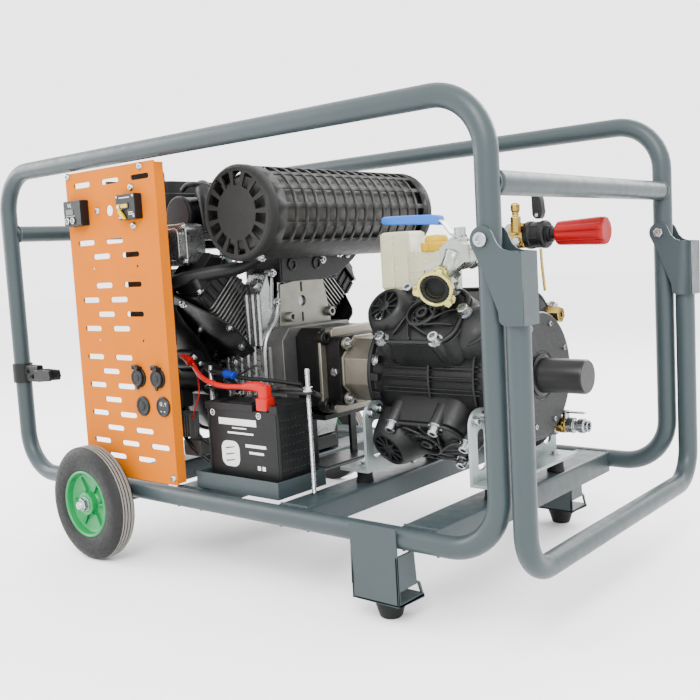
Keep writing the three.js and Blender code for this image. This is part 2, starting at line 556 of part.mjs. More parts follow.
/** Guard: a perforated tube around the muffler with a slotted cap at the front and a bracket below. */
function mufflerGuard() {
  const { x, z, r, y0, y1 } = MUFFLER;
  let shell = rod('y', r, y0, y1, [x, z], 28).subtract(rod('y', r - 3, y0 + 4, y1 + 5, [x, z], 28));
  const spokes = 15;
  for (let k = 0; k < spokes; k += 1) {
    const slot = box(x + 47, x + 67, y0 - 4, y0 + 8, z - 6, z + 6);
    shell = shell.subtract(slot.translate([-x, 0, -z]).rotate([0, (360 * k) / spokes, 0]).translate([x,
        0, z]));
  }
  const windows = 7;
  for (let k = 0; k < windows; k += 1) {
    const slit = box(x + r - 9, x + r + 9, y0 + 40, y1 - 30, z - 8, z + 8);
    shell = shell.subtract(slit.translate([-x, 0, -z]).rotate([0, -115 + 25 * k, 0]).translate([x, 0,
        z]));
  }
  const bracket = box(BRACKET.x0, BRACKET.x1, BRACKET.y0, BRACKET.y1, BRACKET.z0, BRACKET.z1);
  return shell.add(bracket);
}
piece('muffler_guard', mufflerGuard(), 'black');

// ---------------------------------------------------------------- gearbox between engine and pump
const adapter = plateYZ(outline([
  [-104, 240], [104, 240], [104, 395], [90, 406], [-90, 406], [-104, 395],
]), CRANKCASE.x1 + GAP, 4);
const bell = rod('x', 72, 3, FLANGE.x0 + 1, [0, SHAFT_Z], 8);
const flange = box(FLANGE.x0, FLANGE.x1, -FLANGE.half, FLANGE.half, SHAFT_Z - FLANGE.half,
    SHAFT_Z + FLANGE.half);
const neck = rod('x', 60, FLANGE.x1 - 1, PUMP.x0 - GAP, [0, SHAFT_Z], 8);
const gearbox = adapter.add(bell).add(flange).add(neck)
  .subtract(crankHole(CRANKCASE.x1 - 5, 30)).subtract(crankHole(20, 160, 48)).subtract(crankHole(150,
      200, 17));
piece('gearbox', gearbox, 'cast');

// ---------------------------------------------------------------- diaphragm pump
const pumpCut = crankHole(PUMP.x0 + 14, PUMP.x1 - 14, 58).add(crankHole(PUMP.x0 - 5, PUMP.x1 + 5, 17));
let pumpBody = rod('x', PUMP.r, PUMP.x0, PUMP.x1, [0, SHAFT_Z], 24);

/** Box for a pump head, turned about the pump axis; angle 0 points straight up. */
function radialBox(angle, x0, x1, half, from, to) {
  return box(x0, x1, -half, half, from, to).rotate([angle, 0, 0]).translate([0, 0, SHAFT_Z]);
}
const UPPER_FRONT = 45;
const LOWER_FRONT = 135;
for (const angle of [UPPER_FRONT, LOWER_FRONT, 225, 315]) {
  pumpBody = pumpBody.add(radialBox(angle, PUMP.headX0 + 4, PUMP.headX1 - 4, PUMP.headHalf - 4, 60,
      126));
}
for (const angle of [225, 315]) {
  pumpBody = pumpBody.add(radialBox(angle, PUMP.headX0, PUMP.headX1, PUMP.headHalf, 125, PUMP.headOut));
}
piece('pump_body', pumpBody.subtract(pumpCut), 'black');
for (const [name, angle] of [['upper', UPPER_FRONT], ['lower', LOWER_FRONT]]) {
  const plate = radialBox(angle, PUMP.headX0, PUMP.headX1, PUMP.headHalf, 126 + GAP, 148);
  const dome = radialBox(angle, PUMP.headX0 + 45, PUMP.headX1 - 35, 36, 147, PUMP.headOut + 3);
  piece(`pump_head_${name}`, plate.add(dome), 'black');
}

const COVER_R = 27;
const endCover = rod('x', PUMP.r - 2, PUMP.x1 + GAP, PUMP.x1 + 13, [0, SHAFT_Z], 32)
  .add(rod('x', COVER_R, PUMP.x1 + 12, 545, [0, SHAFT_Z], 24))
  .subtract(crankHole(PUMP.x1 - 5, 535, 17));
piece('pump_end_cover', endCover, 'black');

const PUMP_SHAFT = { r: 12, x0: 60, x1: 530 };
piece('pump_shaft', rod('x', PUMP_SHAFT.r, PUMP_SHAFT.x0, PUMP_SHAFT.x1, [0, SHAFT_Z], 16)
  .add(rod('x', 42, 90, 112, [0, SHAFT_Z], 24)).add(rod('x', 34, 290, 340, [8, SHAFT_Z], 24)), 'zinc');

// Feet: a saddle plate under each end of the pump on two rubber isolators.
const FOOT = { sheet: 5, flangeZ: 170, half: 138, top: 286, isolatorY: 103 };
for (const [end, plateX, flangeX0, flangeX1, isolatorX] of
  [['left', 208, 150, 210, 178], ['right', 412, 414, 458, 432]]) {
  const saddle = plateYZ(outline([
    [-FOOT.half, FOOT.flangeZ], [FOOT.half, FOOT.flangeZ], [FOOT.half, FOOT.top - 12],
    [FOOT.half - 12, FOOT.top],
    [-FOOT.half + 12, FOOT.top], [-FOOT.half, FOOT.top - 12],
  ]), plateX, plateX + FOOT.sheet).subtract(crankHole(plateX - 5, plateX + 15, PUMP.r + 1))
    .subtract(rod('x', 18, plateX - 5, plateX + 15, [OUTLET.y + 6, OUTLET.z], 12));
  let foot = saddle.add(box(flangeX0, flangeX1, -FOOT.half, FOOT.half, FOOT.flangeZ,
      FOOT.flangeZ + FOOT.sheet));
  for (const side of [-1, 1]) {
    foot = foot.add(rod('z', 15, RAIL.top + GAP, FOOT.flangeZ + 1, [isolatorX, side * FOOT.isolatorY],
        16));
  }
  piece(`pump_foot_${end}`, foot, 'zinc');
}

// Oil reservoir on top of the pump.
piece('oil_reservoir', box(176, 236, -28, 28, 456, 566).add(box(235, 312, -28, 28, 456, 530))
  .add(rod('z', 28, 529, 557, [278, 0], 12)).add(rod('z', 14, SHAFT_Z + PUMP.r + GAP, 457, [280, 0],
      12)), 'clear');

// ---------------------------------------------------------------- water inlet
const valveBody = rod('y', 21, VALVE.y - 26, VALVE.y + 40, [VALVE.x, VALVE.z], 8)
  .add(rod('z', 9, VALVE.z, VALVE.z + 24, [VALVE.x, VALVE.y], 12));
// Coupling: centre of the claw ring and the direction in which it opens.
const COUPLING = new THREE.Vector3(352, -118, 472);
const OPENS = new THREE.Vector3(0.27, -0.91, -0.36).normalize();
const COUPLING_R = { ring: 28, bore: 17 };
const fromCoupling = (distance) => COUPLING.clone().addScaledVector(OPENS, distance);
const elbow = tube([
  new THREE.Vector3(VALVE.x, VALVE.y - 8, VALVE.z), new THREE.Vector3(VALVE.x - 6, VALVE.y - 14, VALVE.z - 10),
  fromCoupling(0),
], 19, 8);
const couplingRing = tube([fromCoupling(-13), fromCoupling(6)], COUPLING_R.ring, 16);
const mouth = tube([fromCoupling(-9), fromCoupling(24)], COUPLING_R.bore, 12);
piece('inlet_valve', valveBody.add(elbow).add(couplingRing).subtract(mouth)
  .add(rod('y', 12, VALVE.y + 39, 40, [VALVE.x, VALVE.z], 10)), 'brass');

const LEVER = { hubR: 12, half: 11, tip: 232, stepX: 352 };
const leverHub = rod('z', LEVER.hubR, VALVE.z + 24 + GAP, VALVE.z + 32, [VALVE.x, VALVE.y], 12);
const leverStep = plateXZ(outline([
  [VALVE.x - 8, VALVE.z + 26], [VALVE.x - 8, VALVE.z + 30], [LEVER.stepX - 18, VALVE.z + 62],
  [LEVER.tip, VALVE.z + 66], [LEVER.tip, VALVE.z + 56], [LEVER.stepX - 14, VALVE.z + 52],
]), VALVE.y - LEVER.half, VALVE.y + LEVER.half);
piece('inlet_lever', leverHub.add(leverStep), 'blue');

// ---------------------------------------------------------------- pressure regulator
const KNOB = { x0: 458, x1: 542, r: 20 };
const regulatorBlock = box(345, 404, REGULATOR.y - 20, REGULATOR.y + 20, REGULATOR.z - 22,
    REGULATOR.z + 24);
const regulatorHousing = rod('x', 21, 403, 440, [REGULATOR.y, REGULATOR.z], 12);
const LEVER_HUB = { x: 424, z: REGULATOR.z + 30 };
const hubEars = [-13, 9].map((dy) => box(LEVER_HUB.x - 9, LEVER_HUB.x + 9, REGULATOR.y + dy,
    REGULATOR.y + dy + 4,
  REGULATOR.z + 10, LEVER_HUB.z + 8));
const hubPin = rod('y', 2.5, REGULATOR.y - 11, REGULATOR.y + 11, [LEVER_HUB.x, LEVER_HUB.z], 10);
const feed = rod('z', 8, 470, REGULATOR.z - 20, [370, REGULATOR.y], 10);
piece('regulator_body',
    regulatorBlock.add(regulatorHousing).add(hubEars[0]).add(hubEars[1]).add(hubPin).add(feed)
  .add(rod('x', 9, 439, 456, [REGULATOR.y, REGULATOR.z], 12))
  .add(box(360, 392, 38, REGULATOR.y - 18, REGULATOR.z - 34, REGULATOR.z - 14)
    .subtract(rod('y', 13, 30, 45, [VALVE.x, VALVE.z], 12))), 'brass');
let knob = rod('x', KNOB.r, KNOB.x0, KNOB.x1, [REGULATOR.y, REGULATOR.z], 24, KNOB.r + 3);
for (let flute = 0; flute < 8; flute += 1) {
  const groove = rod('x', 4, KNOB.x0 + 14, KNOB.x1 + 5, [KNOB.r + 4, 0], 8);
  knob = knob.subtract(groove.rotate([45 * flute, 0, 0]).translate([0, REGULATOR.y, REGULATOR.z]));
}
const knobBore = rod('x', 9.8, KNOB.x0 - 5, KNOB.x0 + 10, [REGULATOR.y, REGULATOR.z], 12);
piece('regulator_knob', knob.subtract(knobBore), 'red');
const bypass = plateXZ(outline([
  [LEVER_HUB.x - 6, LEVER_HUB.z - 5], [LEVER_HUB.x + 6, LEVER_HUB.z - 5],
  [LEVER_HUB.x + 12, LEVER_HUB.z + 14],
  [LEVER_HUB.x + 8, LEVER_HUB.z + 52], [LEVER_HUB.x - 6, LEVER_HUB.z + 52],
  [LEVER_HUB.x - 10, LEVER_HUB.z + 12],
]), REGULATOR.y - 8, REGULATOR.y + 8).subtract(rod('y', 3, 70, 110, [LEVER_HUB.x, LEVER_HUB.z], 12));
piece('regulator_lever', bypass, 'black');

// ---------------------------------------------------------------- outlet valve at the lower rear head
piece('outlet_valve', rod('x', 9, PUMP.headX1 + GAP, 505, [OUTLET.y + 6, OUTLET.z], 12)
  .add(rod('x', 14, 448, 480, [OUTLET.y + 6, OUTLET.z], 6))
  .add(rod('z', 4, OUTLET.z, OUTLET.z + 20, [464, OUTLET.y + 6], 10)), 'brass');
piece('outlet_lever', rod('z', 7, OUTLET.z + 20 + GAP, OUTLET.z + 25, [464, OUTLET.y + 6], 10)
  .add(box(464, 500, OUTLET.y + 1, OUTLET.y + 11, OUTLET.z + 21, OUTLET.z + 24)), 'zinc');

// The frame's own origin is under the middle of the whole machine.
const xLow = -HALF_LENGTH - TUBE_R - CLAMP_WALL;
const xHigh = PIVOT.x + BRACKET_REACH;
washer.position.x = -(xLow + xHigh) / 2;

export default washer;
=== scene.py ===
# Looks for the engine-driven pressure washer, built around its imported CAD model.
# Shapes are written in millimetres in the drawing's own frame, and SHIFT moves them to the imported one.
import math

import bmesh
import bpy
from mathutils import Matrix, Vector


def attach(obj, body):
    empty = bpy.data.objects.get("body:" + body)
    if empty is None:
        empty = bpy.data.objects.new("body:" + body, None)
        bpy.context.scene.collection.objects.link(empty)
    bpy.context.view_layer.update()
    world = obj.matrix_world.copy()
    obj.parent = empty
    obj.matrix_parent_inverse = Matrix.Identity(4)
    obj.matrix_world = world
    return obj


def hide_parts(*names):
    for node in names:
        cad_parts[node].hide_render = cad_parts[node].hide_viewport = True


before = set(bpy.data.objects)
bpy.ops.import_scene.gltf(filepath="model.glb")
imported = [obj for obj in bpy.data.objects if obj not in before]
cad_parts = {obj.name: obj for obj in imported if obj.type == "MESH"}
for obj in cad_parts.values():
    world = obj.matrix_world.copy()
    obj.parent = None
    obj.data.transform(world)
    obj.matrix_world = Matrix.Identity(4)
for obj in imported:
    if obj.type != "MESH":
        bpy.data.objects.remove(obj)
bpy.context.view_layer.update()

MM = 0.001
SHIFT_X = -17.75
SHIFT = Matrix.Translation((SHIFT_X, 0.0, 0.0))
WHEEL_X, WHEEL_R = -281.0, 105.0
FRONT, REAR = -1, 1
UP, FRONTWARD, ALONG = (0, 0, 1), (0, -1, 0), (1, 0, 0)
ENDS = (("front", FRONT), ("rear", REAR))

# ---------------------------------------------------------------- geometry


def bend(corners, radius, steps=10, loop=False):
    """Rounds the corners of a polyline with arcs."""
    pts = [Vector(c) for c in corners]
    count = len(pts)
    path = [] if loop else [pts[0]]
    for i in range(count) if loop else range(1, count - 1):
        corner, before, after = pts[i], pts[i - 1], pts[(i + 1) % count]
        a, b = (before - corner).normalized(), (after - corner).normalized()
        half = a.angle(b) / 2
        centre = corner + (a + b).normalized() * (radius / math.sin(half))
        first = corner + a * (radius / math.tan(half)) - centre
        last = corner + b * (radius / math.tan(half)) - centre
        normal, sweep = first.cross(last).normalized(), first.angle(last)
        for k in range(steps + 1):
            path.append(centre + Matrix.Rotation(sweep * k / steps, 3, normal) @ first)
    return path if loop else path + [pts[-1]]


def smooth_path(points, steps=8):
    """Catmull-Rom curve through the points."""
    pts = [Vector(p) for p in points]
    pts = [2 * pts[0] - pts[1]] + pts + [2 * pts[-1] - pts[-2]]
    path = []
    for i in range(1, len(pts) - 2):
        p0, p1, p2, p3 = pts[i - 1 : i + 3]
        for k in range(steps):
            t = k / steps
            path.append(0.5 * (2 * p1 + (p2 - p0) * t + (2 * p0 - 5 * p1 + 4 * p2 - p3) * t * t
                               + (3 * p1 - p0 - 3 * p2 + p3) * t ** 3))
    return path + [pts[-2]]


def arc(cx, cy, r, start, end, steps):
    """Points on a circle, angles in degrees."""
    out = []
    for k in range(steps + 1):
        a = math.radians(start + (end - start) * k / steps)
        out.append((cx + r * math.cos(a), cy + r * math.sin(a)))
    return out


def rounded(x0, x1, y0, y1, r, steps=4):
    """Rectangle outline with round corners."""
    return (arc(x1 - r, y0 + r, r, -90, 0, steps) + arc(x1 - r, y1 - r, r, 0, 90, steps)
            + arc(x0 + r, y1 - r, r, 90, 180, steps) + arc(x0 + r, y0 + r, r, 180, 270, steps))


def band(r0, r1, low, high):
    """Profile of a flat ring, for Shape.turn."""
    return [(r0, low), (r1, low), (r1, high), (r0, high), (r0, low)]


def disc(r, low, high):
    """Profile of a round plate."""
    return [(0.1, low), (r, low), (r, high), (0.1, high)]


def stub(r, low, high):
    """Profile of a plain round bar's end."""
    return [(r, low), (r, high), (0.1, high)]


def across(axis, u, v, h):
    """A point at height h along an axis and (u, v) across it."""
    return {"x": (h, u, v), "y": (u, h, v), "z": (u, v, h)}[axis]


class Shape:
    """Closed shapes, in millimetres, that become one piece."""

    def __init__(self):
        self.verts, self.faces, self.finish_of = [], [], []
        self.at = Matrix.Identity(4)
        self.finish = 0

    def add(self, verts, faces):
        base = len(self.verts)
        self.verts += [self.at @ Vector(v) for v in verts]
        self.faces += [[base + i for i in f] for f in faces]
        self.finish_of += [self.finish] * len(faces)
        return self

    def rings(self, rings, caps=True, loop=False):
        n, m = len(rings[0]), len(rings)
        faces = []
        for k in range(m if loop else m - 1):
            a, b = k * n, ((k + 1) % m) * n
            faces += [(a + i, a + (i + 1) % n, b + (i + 1) % n, b + i) for i in range(n)]
        if caps and not loop:
            faces += [tuple(reversed(range(n))), tuple(range((m - 1) * n, m * n))]
        return self.add([p for r in rings for p in r], faces)

    def box(self, x0, x1, y0, y1, z0, z1):
        return self.rings([[(x0, y0, z), (x1, y0, z), (x1, y1, z), (x0, y1, z)] for z in (z0, z1)])

    def slab(self, outline, axis, a, b):
        return self.rings([[across(axis, u, v, h) for u, v in outline] for h in (a, b)])

    def loft(self, axis, sections):
        """Sections are (height, outline) pairs with as many points each."""
        return self.rings([[across(axis, u, v, h) for u, v in outline] for h, outline in sections])

    def tube(self, points, r, n=16, loop=False):
        """Round bar along a path; r is a radius or a function of the share of the path."""
        pts = [Vector(p) for p in points]
        count = len(pts)
        tangents = []
        for i in range(count):
            ahead = pts[(i + 1) % count] if loop or i < count - 1 else pts[i]
            back = pts[i - 1] if loop or i else pts[i]
            tangents.append((ahead - back).normalized())
        side = tangents[0].orthogonal().normalized()
        rings = []
        for p, t in zip(pts, tangents):
            side = (side - t * side.dot(t)).normalized()
            up = t.cross(side)
            radius = r(len(rings) / (count - 1)) if callable(r) else r
            rings.append([p + (side * math.cos(2 * math.pi * k / n) + up * math.sin(2 * math.pi * k / n))
                          * radius for k in range(n)])
        return self.rings(rings, loop=loop)

    def hose(self, points, r, n, steps=8):
        """Round bar along a smooth curve through the points."""
        return self.tube(smooth_path(points, steps), r, n)

    def turn(self, origin, axis, profile, n=32, phase=0.0):
        """Turned shape: profile of (radius, height) pairs, closed if it ends where it starts."""
        origin, axis = Vector(origin), Vector(axis).normalized()
        side = axis.orthogonal().normalized()
        up = axis.cross(side)
        closed = profile[0] == profile[-1]
        rings = []
        for r, h in profile[:-1] if closed else profile:
            rings.append([origin + axis * h + (side * math.cos(phase + 2 * math.pi * k / n)
                          + up * math.sin(phase + 2 * math.pi * k / n)) * max(r, 1e-4) for k in range(n)])
        return self.rings(rings, not closed, closed)

    def rod(self, p, q, r, end=None, n=24):
        p, q = Vector(p), Vector(q)
        end = r if end is None else end
        return self.turn(p, q - p, [(r, 0), (end, (q - p).length)], n)

    def ball(self, centre, r, n=16):
        profile = [(r * math.sin(math.pi * k / 8), -r * math.cos(math.pi * k / 8)) for k in range(9)]
        return self.turn(centre, UP, profile, n)

    def bolt(self, at, axis, r=6.0, high=5.0, hexagon=False, washer=True):
        """Socket-head or hexagon bolt head standing on a surface."""
        a = Vector(axis).normalized()
        p = Vector(at)
        if washer:
            self.turn(p, a, [(r * 1.45, -0.4), (r * 1.45, 1.2), (r * 0.5, 1.2)], 20)
        if hexagon:
            self.turn(p, a, [(r, 0), (r, high * 0.85), (r * 0.86, high), (0.01, high)], 6)
        else:
            self.turn(p, a, [(r, 0), (r, high * 0.9), (r * 0.9, high), (r * 0.56, high),
                             (r * 0.5, high * 0.5), (0.01, high * 0.5)], 18)
        return self


def flat_plate(outline, holes, depth, place):
    """Shape of a plate with holes; place maps its own X, Y, Z (thickness) to the drawing's frame."""
    curve = bpy.data.curves.new("plate", "CURVE")
    curve.dimensions, curve.fill_mode, curve.extrude = "2D", "BOTH", depth / 2
    for ring in [outline] + holes:
        spline = curve.splines.new("POLY")
        spline.points.add(len(ring) - 1)
        for point, (u, v) in zip(spline.points, ring):
            point.co = (u, v, 0, 1)
        spline.use_cyclic_u = True
    holder = bpy.data.objects.new("plate", curve)
    mesh = bpy.data.meshes.new_from_object(holder)
    verts = [place @ Vector((v.co.x, v.co.y, v.co.z + depth / 2)) for v in mesh.vertices]
    faces = [tuple(p.vertices) for p in mesh.polygons]
    bpy.data.objects.remove(holder)
    bpy.data.curves.remove(curve)
    bpy.data.meshes.remove(mesh)
    return verts, faces


# Place matrices for plates that face -Y and -X or +X.
FACING_FRONT = Matrix(((1, 0, 0, 0), (0, 0, -1, 0), (0, 1, 0, 0), (0, 0, 0, 1)))
FACING_SIDE = Matrix(((0, 0, 1, 0), (1, 0, 0, 0), (0, 1, 0, 0), (0, 0, 0, 1)))


def show(name, shape, finish, body="chassis", replaces=(), slot=None, bevel=0.8, angle=35.0, segments=2,
         thick=None):
    """Makes a Shape into a piece that rides on a CAD body."""
    mesh = bpy.data.meshes.new(name)
    mesh.from_pydata([tuple((SHIFT @ v) * MM) for v in shape.verts], [], shape.faces)
    finishes = finish if isinstance(finish, (list, tuple)) else [finish]
    for f in finishes:
        mesh.materials.append(f)
    mesh.polygons.foreach_set("material_index", shape.finish_of)
    bm = bmesh.new()
    bm.from_mesh(mesh)
    bmesh.ops.remove_doubles(bm, verts=bm.verts, dist=0.004 * MM)
    bmesh.ops.dissolve_degenerate(bm, dist=0.002 * MM, edges=bm.edges)
    bmesh.ops.recalc_face_normals(bm, faces=bm.faces)
    bm.to_mesh(mesh)
    bm.free()
    for poly in mesh.polygons:
        poly.use_smooth = True
    piece = bpy.data.objects.new(name, mesh)
    bpy.context.scene.collection.objects.link(piece)
    if thick:
        shell = piece.modifiers.new("thickness", "SOLIDIFY")
        shell.thickness, shell.offset = thick * MM, -1
    if bevel:
        edge = piece.modifiers.new("edges", "BEVEL")
        edge.width, edge.segments = bevel * MM, segments
        edge.limit_method, edge.angle_limit = "ANGLE", math.radians(angle)
        edge.harden_normals = True
    else:
        mesh.set_sharp_from_angle(angle=math.radians(angle))
    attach(piece, body)
    if replaces:
        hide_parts(*([replaces] if isinstance(replaces, str) else replaces))
    slot = slot or finishes[0].get("slot")
    return piece


def bolt_group(name, spots, axis, r, high, hexagon=False, at=None):
    """Zinc bolt heads that point the same way."""
    heads = Shape()
    heads.at = at or Matrix.Identity(4)
    for spot in spots:
        heads.bolt(spot, axis, r, high, hexagon)
    show(name, heads, ZINC, bevel=0)


# ---------------------------------------------------------------- materials


def surface(name, colour, rough, metal=0.0, slot=None, tint=0.1, patch=14.0, grain=700.0, bump=0.12,
            swing=0.07, specular=0.5, pits=0.0, through=0.0, subsurface=0.0):
    """Procedural finish: broad colour patches, finer roughness swing and a fine grain in the bump."""
    mat = bpy.data.materials.new(name)
    mat.use_nodes = True
    tree = mat.node_tree
    nodes, link = tree.nodes, tree.links.new
    shader = nodes["Principled BSDF"]
    coords = nodes.new("ShaderNodeTexCoord").outputs["Object"]

    def noise(scale, detail=3.0):
        node = nodes.new("ShaderNodeTexNoise")
        node.inputs["Scale"].default_value = scale
        node.inputs["Detail"].default_value = detail
        link(coords, node.inputs["Vector"])
        return node.outputs["Fac"]

    def spread(value, low, high, start=0.3, end=0.7):
        node = nodes.new("ShaderNodeMapRange")
        node.inputs["From Min"].default_value, node.inputs["From Max"].default_value = start, end
        node.inputs["To Min"].default_value, node.inputs["To Max"].default_value = low, high
        link(value, node.inputs["Value"])
        return node.outputs["Result"]

    mix = nodes.new("ShaderNodeMix")
    mix.data_type = "RGBA"
    link(spread(noise(patch), 0.0, 1.0), mix.inputs["Factor"])
    mix.inputs[6].default_value = [c * (1 - tint) for c in colour] + [1]
    mix.inputs[7].default_value = [min(c * (1 + tint), 1.0) for c in colour] + [1]
    out = mix.outputs[2]
    if pits:
        dark = nodes.new("ShaderNodeMix")
        dark.data_type = "RGBA"
        link(spread(noise(grain * 0.4, 5.0), 0.0, pits, 0.5, 0.75), dark.inputs["Factor"])
        link(out, dark.inputs[6])
        dark.inputs[7].default_value = [c * 0.25 for c in colour] + [1]
        out = dark.outputs[2]
    link(out, shader.inputs["Base Color"])
    link(spread(noise(patch * 6, 4.0), max(rough - swing, 0.03), rough + swing), shader.inputs["Roughness"])
    shader.inputs["Metallic"].default_value = metal
    shader.inputs["Specular IOR Level"].default_value = specular
    shader.inputs["Transmission Weight"].default_value = through
    shader.inputs["Subsurface Weight"].default_value = subsurface
    shader.inputs["Subsurface Radius"].default_value = (0.012, 0.01, 0.006)
    height = nodes.new("ShaderNodeBump")
    height.inputs["Strength"].default_value = bump
    height.inputs["Distance"].default_value = 0.0006
    link(noise(grain, 4.0), height.inputs["Height"])
    link(height.outputs["Normal"], shader.inputs["Normal"])
    if slot:
        mat["slot"] = slot
    return mat


PAINT = surface("frame_paint", (0.0205, 0.0305, 0.0335), 0.4, 0.0, "frame_paint", 0.06, 9, 1500, 0.05, 0.06,
                specular=0.3)
ORANGE = surface("orange_paint", (0.40, 0.1, 0.0), 0.6, 0.0, "orange_paint", 0.04, 10, 1400, 0.05, 0.05,
                 specular=0.03)
BLACK_PAINT = surface("black_paint", (0.0028, 0.0029, 0.003), 0.36, 0.0, "black_paint", 0.3, 20, 900, 0.12,
                      0.08, specular=0.2)
GUARD = surface("guard_paint", (0.0075, 0.0078, 0.0072), 0.55, 0.0, "black_paint", 0.15, 16, 900, 0.1, 0.06,
                specular=0.18)
CASTING = surface("pump_casting", (0.0042, 0.0044, 0.0046), 0.44, 0.0, "black_paint", 0.25, 30, 420, 0.3,
                  0.08, specular=0.26)
PLASTIC = surface("black_plastic", (0.0040, 0.0042, 0.0045), 0.45, 0.0, "black_plastic", 0.15, 25, 800,
                  0.14, 0.06, specular=0.2)
GLOSS = surface("gloss_black", (0.004, 0.004, 0.0045), 0.34, 0.0, "black_plastic", 0.1, 25, 800, 0.03, 0.04,
                specular=0.24)
RUBBER = surface("rubber", (0.0045, 0.0047, 0.005), 0.66, 0.0, "foot_rubber", 0.2, 40, 600, 0.2, 0.08,
                 specular=0.2)
GREEN = surface("green_plastic", (0.002, 0.17, 0.042), 0.34, 0.0, "green_plastic", 0.08, 20, 700, 0.06,
                0.05, specular=0.3)
ZINC = surface("zinc", (0.36, 0.375, 0.385), 0.27, 1.0, "zinc_steel", 0.12, 45, 900, 0.08, 0.1)
FOOT_ZINC = surface("blue_zinc", (0.25, 0.285, 0.285), 0.38, 0.75, "zinc_steel", 0.12, 25, 700, 0.08, 0.08)
ALLOY = surface("cast_alloy", (0.23, 0.235, 0.235), 0.3, 0.92, "cast_alloy", 0.12, 30, 500, 0.12, 0.08,
                pits=0.05)
GREY_CAST = surface("grey_casting", (0.085, 0.085, 0.083), 0.42, 0.7, "cast_alloy", 0.15, 40, 500, 0.3, 0.08)
CHAMPAGNE = surface("champagne_casting", (0.20, 0.185, 0.15), 0.38, 0.8, "cast_alloy", 0.12, 30, 500, 0.25,
                    0.08)
PLATE = surface("machined_plate", (0.165, 0.163, 0.14), 0.42, 0.8, "cast_alloy", 0.1, 40, 600, 0.15, 0.08)
FINS = surface("finned_alloy", (0.2, 0.2, 0.195), 0.36, 0.9, "cast_alloy", 0.2, 50, 500, 0.3, 0.1)
BRASS = surface("brass", (0.34, 0.23, 0.06), 0.26, 1.0, "brass", 0.12, 50, 700, 0.1, 0.08)
PALE_BRASS = surface("pale_brass", (0.40, 0.36, 0.13), 0.27, 0.9, "brass", 0.1, 40, 700, 0.12, 0.08)
NICKEL = surface("nickel", (0.30, 0.32, 0.29), 0.28, 0.9, "brass", 0.1, 40, 700, 0.1, 0.08)
RED = surface("red_plastic", (0.21, 0.0, 0.0015), 0.36, 0.0, "red_plastic", 0.08, 30, 700, 0.08, 0.05,
              specular=0.16)
RED_CABLE = surface("red_cable", (0.30, 0.001, 0.0), 0.42, 0.0, "red_rubber", 0.06, 30, 900, 0.08, 0.05,
                    specular=0.22)
BLUE = surface("blue_vinyl", (0.008, 0.10, 0.40), 0.36, 0.0, "blue_vinyl", 0.07, 30, 900, 0.1, 0.05,
               specular=0.25)
BLUE_CAP = surface("blue_plastic", (0.002, 0.015, 0.20), 0.35, 0.0, "blue_vinyl", 0.08, 30, 900, 0.1, 0.05,
                   specular=0.25)
YELLOW = surface("yellow_plastic", (0.45, 0.30, 0.0), 0.38, 0.0, "yellow_plastic", 0.05, 30, 900, 0.08,
                 0.05, specular=0.15)
CAP_YELLOW = surface("cap_yellow", (0.50, 0.30, 0.004), 0.4, 0.0, "yellow_plastic", 0.06, 30, 900, 0.1,
                     0.05, specular=0.18)
CREAM = surface("cream_plastic", (0.56, 0.55, 0.36), 0.24, 0.0, "cream_plastic", 0.06, 18, 500, 0.06, 0.05,
                specular=0.3, through=0.3, subsurface=0.15)
WHITE = surface("white_print", (0.55, 0.55, 0.54), 0.5, 0.0, "black_plastic", 0.05, 30, 900, 0.05, 0.05,
                specular=0.2)
SCREEN = surface("screen", (0.045, 0.052, 0.052), 0.2, 0.0, "black_plastic", 0.05, 30, 900, 0.02, 0.03,
                 specular=0.3)
AMBER = surface("amber_fitting", (0.40, 0.12, 0.012), 0.28, 0.3, "brass", 0.1, 30, 600, 0.08, 0.05,
                specular=0.3)
STEEL_DARK = surface("dark_steel", (0.05, 0.048, 0.045), 0.5, 0.6, "black_paint", 0.3, 30, 400, 0.3, 0.1)


def tyre_finish():
    """Black rubber whose tread bands are worn to a dusty grey, by distance from the wheel's axle."""
    mat = surface("tyre", (0.0042, 0.0044, 0.0046), 0.6, 0.0, "tyre_rubber", 0.25, 30, 500, 0.25, 0.1,
                  specular=0.25)
    tree = mat.node_tree
    nodes, link = tree.nodes, tree.links.new
    shader = nodes["Principled BSDF"]
    base = shader.inputs["Base Color"].links[0].from_socket
    coords = nodes.new("ShaderNodeTexCoord").outputs["Object"]
    parts = nodes.new("ShaderNodeSeparateXYZ")
    link(coords, parts.inputs["Vector"])

    def calc(kind, a, b):
        node = nodes.new("ShaderNodeMath")
        node.operation = kind
        for socket, value in zip(node.inputs, (a, b)):
            if isinstance(value, (int, float)):
                socket.default_value = value
            else:
                link(value, socket)
        return node.outputs[0]

    dx = calc("SUBTRACT", parts.outputs["X"], (WHEEL_X + SHIFT_X) * MM)
    dz = calc("SUBTRACT", parts.outputs["Z"], WHEEL_R * MM)
    radius = calc("SQRT", calc("ADD", calc("MULTIPLY", dx, dx), calc("MULTIPLY", dz, dz)), 0.0)
    dust = nodes.new("ShaderNodeTexNoise")
    dust.inputs["Scale"].default_value = 120.0
    link(coords, dust.inputs["Vector"])
    edge = calc("ADD", radius, calc("MULTIPLY", dust.outputs["Fac"], 0.0006))
    worn = nodes.new("ShaderNodeMapRange")
    worn.inputs["From Min"].default_value, worn.inputs["From Max"].default_value = 0.1042, 0.1049
    link(edge, worn.inputs["Value"])
    mix = nodes.new("ShaderNodeMix")
    mix.data_type = "RGBA"
    link(worn.outputs["Result"], mix.inputs["Factor"])
    link(base, mix.inputs[6])
    mix.inputs[7].default_value = (0.15, 0.145, 0.13, 1)
    link(mix.outputs[2], shader.inputs["Base Color"])
    return mat


TYRE = tyre_finish()

# ---------------------------------------------------------------- tube frame
TUBE = 16.0
UPRIGHT_X, LOOP_Y = 555.5, 291.6
LOW_Z, HIGH_Z, CROSS_Z = 128.7, 728.7, 611.0


